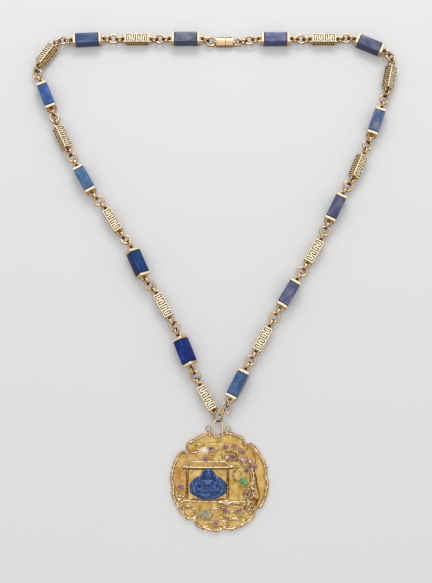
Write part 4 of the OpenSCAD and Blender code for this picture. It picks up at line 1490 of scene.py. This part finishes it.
def post_rows(plate):
    """Posts of the pavilion with knots one over the other."""
    rows = []
    for x in POSTS:
        line = [(x, 7.6), (x + 0.15, 2), (x - 0.1, -4), (x, -10.0)]
        post = worked_rod(line, [0.5, 0.42, 0.45, 0.5], plate + 0.45, 26, rough=0.3)
        rows.append((post, plate + 0.66, plate + 1.4))
        for k in range(7):
            place = (x + 0.1 * (-1) ** k, 6.2 - 2.5 * k, plate + 0.65)
            rows.append((ball(0.5, place, (1, 0.75, 0.8), 6, 10), plate + 0.6, plate + 1.1))
    return rows


def tree_rows(plate):
    """Trunk and branches with their knots and burrs."""
    rows = []
    for k, (points, widths, height) in enumerate(TREE):
        rod = worked_rod(points, widths, plate + height, 31 + k, rough=0.5)
        rows.append((rod, plate + height, plate + height + 1.15 * min(widths[1:-1])))
    for x, y, height, size in KNOTS:
        ring = sweep(arc(size - 0.2, 0, 360, 16)[:-1], 0.2, 8, closed=True)
        z = plate + height
        rows.append((moved(ring, shift(x, y, z)), z - 0.1, z + 0.2))
    for x, y, radius in BURRS:
        rows.append((ball(radius, (x, y, plate + 0.75), (1, 1, 0.8), 6, 10), plate + 0.6, plate + 1.2))
    return rows


def wave_rows(plate):
    """Strokes of clouds and waves, and lumps."""
    rows = [(stroke(*row, plate + 0.2, 40 + k), plate + 0.12, plate + 0.5) for k, row in enumerate(STROKES)]
    for x, y, radius, height in LUMPS:
        z = plate + height
        rows.append((ball(radius, (x, y, z), (1.0, 0.85, 0.8)), z + 0.1, z + 0.65 * radius))
    return rows


def setting_rows(plate, radius):
    """Settings of the pink stones, the opal's bezel and the pin of the bead."""
    rows = [(pink_setting(x, y, plate, radius), plate + 1.0, plate + 1.5) for x, y in PINK_STONES]
    bezel = []
    for p in arc(1, 0, 360, 40)[:-1]:
        x = OPAL[0] + p[0] * (OPAL_SIZE[0] / 2 + 0.1)
        y = OPAL[1] + p[1] * (OPAL_SIZE[1] / 2 + 0.1)
        bezel.append((x, y, plate + 0.35))
    rows.append((sweep(bezel, 0.38, 10, closed=True), plate + 0.3, plate + 0.7))
    pin = [(1.2, plate - 0.3), (1.2, plate + 0.2), (0.9, plate + 0.4), (0.45, plate + 0.45)]
    pin += [(0.45, 6.2), (0.8, 6.2), (0.8, 6.7), (0.5, 6.95), (0, 7.0)]
    rows.append((moved(lathe(pin, 20), shift(BEAD[0], BEAD[1], 0)), plate, plate + 0.5))
    return rows


def bail_rows():
    """Arch over the top edge and a scroll on each side of it."""
    x, y = BAIL
    arch = [(x - BAIL_RADIUS, BAIL_FOOT, BAIL_HEIGHT)]
    arch += [(x - p[0], p[1], p[2]) for p in arc(BAIL_RADIUS, 0, 180, 20, (0, y), BAIL_HEIGHT)]
    arch.append((x + BAIL_RADIUS, BAIL_FOOT, BAIL_HEIGHT))
    wires = [sweep(arch, BAIL_WIRE / 2, 16)]
    low = BAIL_HEIGHT - 0.4
    for side in (-1, 1):
        root = x + side * 4.5
        curl = [(root, y - 6.9, low), (root, y - 4.9, low)]
        for p in arc(SCROLL_RADIUS, 0, 260, 18, (0, y - 3.2), low):
            curl.append((root + side * SCROLL_RADIUS - side * p[0], p[1], p[2]))
        radii = [0.32] * (len(curl) - 4) + [0.31, 0.3, 0.29, 0.28]
        wires.append(sweep(curl, radii, 12))
        wires.append(ball(0.42, curl[-1]))
    return [(wire, BAIL_HEIGHT - 0.3, BAIL_HEIGHT + 0.4) for wire in wires]


class SAUTOIR_OT_medallion(Operator):
    """Add the medallion with its relief, settings and bail."""

    bl_idname = "sautoir.medallion"
    bl_label = "Medallion"

    def execute(self, context):
        sizes = context.scene.sautoir_pendant
        plate = in_mm(sizes.plate)
        place = spot(MEDALLION[0], MEDALLION[1], 0)
        rim = (in_mm(sizes.rim_height), in_mm(sizes.rim_width))
        parts = (
            ("medallion_plate", plate_mesh(in_mm(sizes.radius), plate, *rim, laid_lines(sizes)), 70),
            ("medallion_pavilion", painted(pavilion_rows(plate), age=0.5, copper=0.3), 50),
            ("medallion_posts", painted(post_rows(plate), age=0.7, copper=1.0), 50),
            ("medallion_tree", painted(tree_rows(plate), age=0.9, copper=0.7), 50),
            ("medallion_waves", painted(wave_rows(plate), copper=0.6), 60),
            ("stone_settings", painted(setting_rows(plate, in_mm(sizes.pink_stone) / 2)), 45),
            ("medallion_bail", painted(bail_rows()), 40),
        )
        for name, (body, paint), smooth in parts:
            node = ["medallion"] if name == "medallion_plate" else ()
            piece(name, body, plate_gold(), "pendant_gold", place, node, smooth=smooth, paint=paint)
        return {"FINISHED"}


class SAUTOIR_OT_pendant_rings(Operator):
    """Add the rings that join the pendant to the chain."""

    bl_idname = "sautoir.pendant_rings"
    bl_label = "Pendant rings"

    def execute(self, context):
        parts = []
        for k, ((x, y, z), lean, direction, radius, wire) in enumerate(PENDANT_RINGS):
            place = shift(x - MIDDLE[0], y - MIDDLE[1], z) @ turn(direction, "Z") @ turn(lean, "Y")
            parts.append(moved(wire_ring(radius, wire, 80 * k + 20), place))
        piece("rings_pendant", merge(parts), ring_gold(), "chain_gold", None, ["pendant_rings"])
        return {"FINISHED"}


class SAUTOIR_OT_stones(Operator):
    """Add the opal, the green bead, the jade carving and the pink stones."""

    bl_idname = "sautoir.stones"
    bl_label = "Stones"

    def execute(self, context):
        tones = context.scene.sautoir_finishes
        sizes = context.scene.sautoir_pendant
        plate = in_mm(sizes.plate)
        place = spot(MEDALLION[0], MEDALLION[1], 0)
        rng = random.Random(8)

        milk = cloudy_stone("polished opal", tones.opal, "#D8C4B8", 2.0, 0.12, glow=0.3, ior=1.45)
        verts, faces = ball(1.0, rings=24, steps=40)
        x, y, z = OPAL_SIZE
        dome = [Vector((v.x * x / 2, v.y * y / 2, max(v.z, -0.02) * z)) for v in verts]
        dome = moved((dome, faces), shift(OPAL[0], OPAL[1], plate + 0.12))
        piece("opal_cabochon", dome, milk, "opal", place, ["opal"])

        leaf = cloudy_stone("polished green stone", tones.green, "#2A7040", 1.6, 0.08, glow=0.2, ior=1.57)
        radius = in_mm(sizes.bead) / 2
        verts, faces = ball(radius, rings=24, steps=48)
        melon = []
        for v in verts:
            level = math.sqrt(max(0.0, 1 - (v.z / radius) ** 2))
            groove = 1 - 0.05 * level * abs(math.sin(4 * math.atan2(v.y, v.x))) ** 6
            melon.append(Vector((v.x * groove, v.y * groove, v.z)))
        bead = moved((melon, faces), shift(BEAD[0], BEAD[1], BEAD_HEIGHT))
        piece("green_bead_melon", bead, leaf, "green_stone", place, ["green_bead"])

        cut = {"size": 0.9, "roughness": 0.04, "ior": 1.76}
        pink = cloudy_stone("cut pink stone", tones.pink, "#7A2858", clear=0.15, **cut)
        # Lit and shaded copies of the stone: random facets take painted shade or a painted glint
        deep = cloudy_stone("cut pink stone, shaded facets", "#601E38", "#401024", clear=0.15, **cut)
        glinting = cloudy_stone("cut pink stone, painted glint facets", "#F0C4B8", "#D890A0", clear=0.05, **cut)
        radius = in_mm(sizes.pink_stone) / 2
        gems = [cut_stone(x, y, plate, radius, rng.uniform(0, 36)) for x, y in PINK_STONES]
        count = len(gems[0][1])
        shaded = []
        bright = []
        for k in range(len(gems)):
            for number in range(count - 3 * FACETS - 1, count):
                share = rng.random()
                if share < 0.35:
                    shaded.append(number + k * count)
                elif share > 0.84:
                    bright.append(number + k * count)
        facets = {"smooth": 1, "others": [(deep, shaded), (glinting, bright)]}
        piece("pink_brilliants", merge(gems), pink, "pink_stone", place, ["pink_stones"], **facets)
        return {"FINISHED"}


# Carvings

# Size in millimetres of the mesh that a carving is evened out on
VOXEL = 0.15

# Right half and middle of the seated figure: middle, three radii and a turn about Z
FIGURE_FORMS = [
    ((0, 5.0, 0.6), (9.0, 4.6, 2.6), 0),
    ((0, 8.6, 0.6), (6.0, 6.0, 3.0), 0),
    ((6.0, 10.2, 0.3), (4.4, 3.2, 2.5), -34),
    ((8.0, 8.0, 0.2), (3.2, 3.9, 2.4), 10),
    ((7.0, 4.6, 0.5), (4.0, 2.6, 2.5), 14),
    ((3.6, 2.6, 0.8), (4.0, 2.3, 2.4), 6),
    ((0, 6.6, 1.6), (3.6, 3.1, 2.4), 0),
    ((2.1, 9.8, 2.3), (2.2, 1.5, 1.4), -12),
    ((0, 12.0, 1.0), (4.2, 2.0, 2.0), 0),
    ((0, 14.3, 1.8), (2.3, 2.9, 2.3), 0),
    ((0, 14.6, 0.5), (4.2, 3.4, 2.1), 0),
    ((3.2, 12.8, 0.6), (2.2, 1.9, 1.9), 30),
    ((0, 16.6, 0.8), (2.4, 1.8, 1.8), 0),
    ((1.9, 5.0, 3.2), (1.4, 0.8, 0.8), 12),
    ((4.6, 6.4, 2.2), (2.8, 1.2, 1.4), -24),
    ((0, 14.1, 4.0), (0.34, 0.72, 0.45), 0),
    ((0.92, 15.0, 3.6), (0.78, 0.25, 0.4), 8),
    ((0.92, 14.5, 3.6), (0.6, 0.28, 0.32), 0),
    ((0, 12.9, 3.75), (0.72, 0.24, 0.3), 0),
    ((1.25, 13.6, 3.2), (0.85, 0.85, 0.6), 0),
    ((0, 12.2, 3.1), (0.85, 0.55, 0.6), 0),
]

# Folds on the figure's right half: polyline, width, depth
FOLDS = [
    ([(3.4, 12.6), (2.6, 10.4), (1.6, 8.6), (0.2, 8.0)], 0.35, 0.55),
    ([(4.4, 12.4), (3.6, 9.6), (2.4, 7.6), (2.0, 6.4)], 0.3, 0.35),
    ([(8.6, 11.2), (8.4, 8.0), (7.4, 5.4), (4.6, 3.4)], 0.4, 0.45),
    ([(6.4, 12.2), (6.2, 9.4), (5.2, 7.4)], 0.35, 0.35),
    ([(10.0, 7.6), (9.4, 4.4), (7.2, 2.0)], 0.35, 0.35),
    ([(3.0, 3.8), (5.2, 2.2), (8.6, 1.4)], 0.35, 0.4),
    ([(1.2, 3.2), (3.0, 1.6), (5.6, 0.9)], 0.3, 0.3),
    ([(1.4, 17.0), (2.5, 15.4), (2.6, 13.6), (1.9, 12.0)], 0.28, 0.55),
]
MIDDLE_FOLD = ([(-1.6, 3.9), (0, 3.6), (1.6, 3.9)], 0.3, 0.4)

# Ridges of the robe that carry a painted highlight: polyline, width
HIGHLIGHT_CRESTS = [
    ([(-3.4, 11.3), (-0.6, 10.6), (2.4, 11.3)], 0.45),
    ([(-2.2, 9.5), (-0.4, 9.1), (1.6, 9.5)], 0.35),
    ([(-4.3, 3.3), (-2.0, 2.6), (0.9, 2.9)], 0.4),
    ([(7.4, 9.8), (8.7, 7.2), (8.2, 4.6)], 0.35),
    ([(-7.4, 9.8), (-8.7, 7.2), (-8.2, 4.6)], 0.35),
    ([(3.0, 5.8), (5.6, 6.3), (7.4, 5.2)], 0.3),
    ([(-6.4, 6.0), (-4.4, 6.4), (-3.0, 5.6)], 0.3),
    ([(2.6, 1.4), (5.4, 1.9), (7.6, 3.0)], 0.3),
]
PETALS = 6
PETAL_START = 15


def carved(name, forms, grooves, highlight_crests, material, slot, matrix, stands_for):
    """Carving: ellipsoids joined, evened out, grooved and smoothed, with painted shade in its grooves and
    painted highlights along its ridges. A form is the middle, the three radii and a turn about Z. A groove is
    a polyline with a width and a depth, and a ridge with a painted highlight is a polyline with a width."""
    parts = []
    for (x, y, z), radii, spin in forms:
        parts.append(moved(ball(1.0, scale=radii, rings=16, steps=28), shift(x, y, z) @ turn(spin, "Z")))
    verts, faces = merge(parts)
    mesh = bpy.data.meshes.new(name)
    mesh.from_pydata([Vector(v) * MM for v in verts], [], faces)
    raw = linked(name + "_raw", mesh)
    even = raw.modifiers.new("even", "REMESH")
    even.mode = "VOXEL"
    even.voxel_size = VOXEL * MM
    soft = raw.modifiers.new("soft", "SMOOTH")
    soft.factor = 0.5
    soft.iterations = 3
    bpy.context.view_layer.update()
    evaluated = raw.evaluated_get(bpy.context.evaluated_depsgraph_get())
    shaped = evaluated.to_mesh()
    co = np.empty(len(shaped.vertices) * 3)
    normal = np.empty(len(shaped.vertices) * 3)
    shaped.vertices.foreach_get("co", co)
    shaped.vertices.foreach_get("normal", normal)
    co = co.reshape(-1, 3) / MM
    normal = normal.reshape(-1, 3)
    polygons = [list(p.vertices) for p in shaped.polygons]
    evaluated.to_mesh_clear()
    bpy.data.objects.remove(raw)
    bpy.data.meshes.remove(mesh)

    x = co[:, 0]
    y = co[:, 1]
    sink = np.zeros(len(co))
    for line, width, depth in grooves:
        sink += depth * closeness(line, x, y, width)
    # Painted highlights: scattered glints and the listed ridges of the robe
    pale = 0.4 * smooth_step(0.76, 0.9, grain(x, y, 0.7, 16))
    for line, width in highlight_crests:
        pale = np.maximum(pale, closeness(line, x, y, width) * grain(x, y, 0.8, 15))
    # Red is painted shade in the grooves, green the painted highlights
    paint = np.zeros((len(co), 4))
    paint[:, 0] = np.clip(sink * 1.8, 0, 0.9)
    paint[:, 1] = pale
    sink += 0.06 * (grain(x, y, 0.9, 12) - 0.5)
    front = np.clip(normal[:, 2] * 1.4, 0, 1)
    co = co - normal * (sink * front)[:, None]
    co[:, 2] = np.maximum(co[:, 2], 0.0)
    body = ([Vector(v) for v in co.tolist()], polygons)
    piece(name, body, material, slot, matrix, stands_for, smooth=80, paint=paint)


def mirrored(rows):
    """Forms with each one that stands off the middle repeated on the other side."""
    both = []
    for (x, y, z), radii, spin in rows:
        both.append(((x, y, z), radii, spin))
        if x:
            both.append(((-x, y, z), radii, -spin))
    return both


class SAUTOIR_OT_carvings(Operator):
    """Add the seated figure and the jade carving."""

    bl_idname = "sautoir.carvings"
    bl_label = "Carvings"

    def execute(self, context):
        tones = context.scene.sautoir_finishes
        height = in_mm(context.scene.sautoir_pendant.plate) + 0.1
        blue = polished_lapis(
            "carved lapis", tones.figure_lapis, 20, gloss=0.12, size=1.6, contrast=1.2, tooled=0.7
        )
        grooves = []
        for line, width, depth in FOLDS:
            grooves.append((line, width, depth))
            grooves.append(([(-x, y) for x, y in line], width, depth))
        grooves.append(MIDDLE_FOLD)
        place = spot(MEDALLION[0] + FIGURE[0], MEDALLION[1] + FIGURE[1], height)
        forms = mirrored(FIGURE_FORMS)
        carved("seated_figure_lapis", forms, grooves, HIGHLIGHT_CRESTS, blue, "figure_lapis", place, ["seated_figure"])

        green = cloudy_stone("carved jade", tones.jade, "#5E6846", 1.3, 0.2, glow=0.1, ior=1.6)
        petals = [((0, 0, 0.4), (2.4, 1.7, 2.0), 0)]
        veins = []
        for k in range(PETALS):
            spin = 360 // PETALS * k + PETAL_START
            c = math.cos(math.radians(spin))
            s = math.sin(math.radians(spin))
            petals.append(((3.1 * c, 1.6 * s, 0.3), (2.0, 1.5, 1.6), spin))
            veins.append(([(0, 0), (4.6 * c, 2.6 * s)], 0.22, 0.3))
        place = spot(MEDALLION[0] + JADE[0], MEDALLION[1] + JADE[1], height, JADE_TURN)
        carved("jade_flower", petals, veins, [], green, "jade", place, ["jade_carving"])
        return {"FINISHED"}


# Stage

# Half side of the floor in metres
FLOOR_HALF = 3.0
# Camera: lens in millimetres, metres from the middle of the necklace, tilt in degrees
LENS = 55.57
DISTANCE = 0.567
TILT = 12
# Grey of the studio's dome from level to overhead: height of the direction, brightness
DOME = [(0.0, 0.95), (0.35, 0.95), (0.62, 0.98), (0.8, 1.2)]
# Direction in which the dome is brighter
BRIGHT_SIDE = (0.3, 0.62, 0.0)


class SAUTOIR_OT_stage(Operator):
    """Add the floor, the lights and the camera."""

    bl_idname = "sautoir.stage"
    bl_label = "Stage"

    def execute(self, context):
        scene = context.scene
        mesh = bpy.data.meshes.new("floor")
        corners = [(x * FLOOR_HALF, y * FLOOR_HALF, 0) for x, y in ((-1, -1), (1, -1), (1, 1), (-1, 1))]
        mesh.from_pydata(corners, [], [[0, 1, 2, 3]])
        mesh.materials.append(matte_board("matte board", scene.sautoir_finishes.floor))
        floor = linked("floor", mesh)

        lamp = bpy.data.lights.new("key_box", "AREA")
        lamp.shape = "RECTANGLE"
        lamp.size = 0.4
        lamp.size_y = 0.2
        lamp.energy = 1.75
        key = linked("key_box", lamp)
        key.location = (0.03, 0.62, 0.45)
        aim = Vector((0, 0.05, 0)) - Vector((0.03, 0.62, 0.45))
        key.rotation_euler = aim.to_track_quat("-Z", "Y").to_euler()

        world = bpy.data.worlds.new("studio")
        world.use_nodes = True
        tree = world.node_tree
        tree.nodes.clear()
        way = add_node(tree, "ShaderNodeTexCoord").outputs["Generated"]
        dome = ramp(tree, part_of(tree, way, "Z"), [(place, (grey, grey, grey, 1)) for place, grey in DOME])
        lean = add_node(tree, "ShaderNodeVectorMath", {0: way, 1: BRIGHT_SIDE}, operation="DOT_PRODUCT")
        side = ranged(tree, lean.outputs["Value"], -0.6, 0.6, 0.84, 1.02)
        sky = add_node(tree, "ShaderNodeBackground", {"Color": dome, "Strength": side})
        add_node(tree, "ShaderNodeOutputWorld", {"Surface": sky.outputs[0]})
        scene.world = world
        scene.view_settings.view_transform = "Standard"

        camera = bpy.data.cameras.new("camera")
        camera.sensor_width = 36
        camera.lens = LENS
        camera.clip_start = 0.01
        eye = linked("camera", camera)
        tilt = math.radians(TILT)
        x, y = (-v * MM for v in MIDDLE)
        eye.location = (x, y - DISTANCE * math.sin(tilt), DISTANCE * math.cos(tilt))
        eye.rotation_euler = (tilt, 0, 0)
        scene.camera = eye
        return {"FINISHED"}


class SAUTOIR_PT_panel(Panel):
    """Sizes, colours and pieces of the necklace."""

    bl_label = "Sautoir"
    bl_idname = "SAUTOIR_PT_panel"
    bl_space_type = "VIEW_3D"
    bl_region_type = "UI"
    bl_category = "Sautoir"

    def draw(self, context):
        scene = context.scene
        for group in (scene.sautoir_chain, scene.sautoir_pendant, scene.sautoir_finishes):
            box = self.layout.box()
            for name in group.bl_rna.properties.keys():
                if name not in ("rna_type", "name"):
                    box.prop(group, name)
        for operator in PIECES:
            self.layout.operator(operator.bl_idname)


PIECES = (
    SAUTOIR_OT_lapis_bars,
    SAUTOIR_OT_bar_mounts,
    SAUTOIR_OT_pierced_links,
    SAUTOIR_OT_jump_rings,
    SAUTOIR_OT_clasp,
    SAUTOIR_OT_medallion,
    SAUTOIR_OT_pendant_rings,
    SAUTOIR_OT_stones,
    SAUTOIR_OT_carvings,
    SAUTOIR_OT_stage,
)
GROUPS = (ChainSizes, PendantSizes, Finishes)


def register():
    for cls in GROUPS + PIECES + (SAUTOIR_PT_panel,):
        bpy.utils.register_class(cls)
    bpy.types.Scene.sautoir_chain = PointerProperty(type=ChainSizes)
    bpy.types.Scene.sautoir_pendant = PointerProperty(type=PendantSizes)
    bpy.types.Scene.sautoir_finishes = PointerProperty(type=Finishes)


def unregister():
    del bpy.types.Scene.sautoir_finishes
    del bpy.types.Scene.sautoir_pendant
    del bpy.types.Scene.sautoir_chain
    for cls in reversed(GROUPS + PIECES + (SAUTOIR_PT_panel,)):
        bpy.utils.unregister_class(cls)


def main():
    register()
    for operator in PIECES:
        group, name = operator.bl_idname.split(".")
        getattr(getattr(bpy.ops, group), name)()


if __name__ == "__main__":
    main()
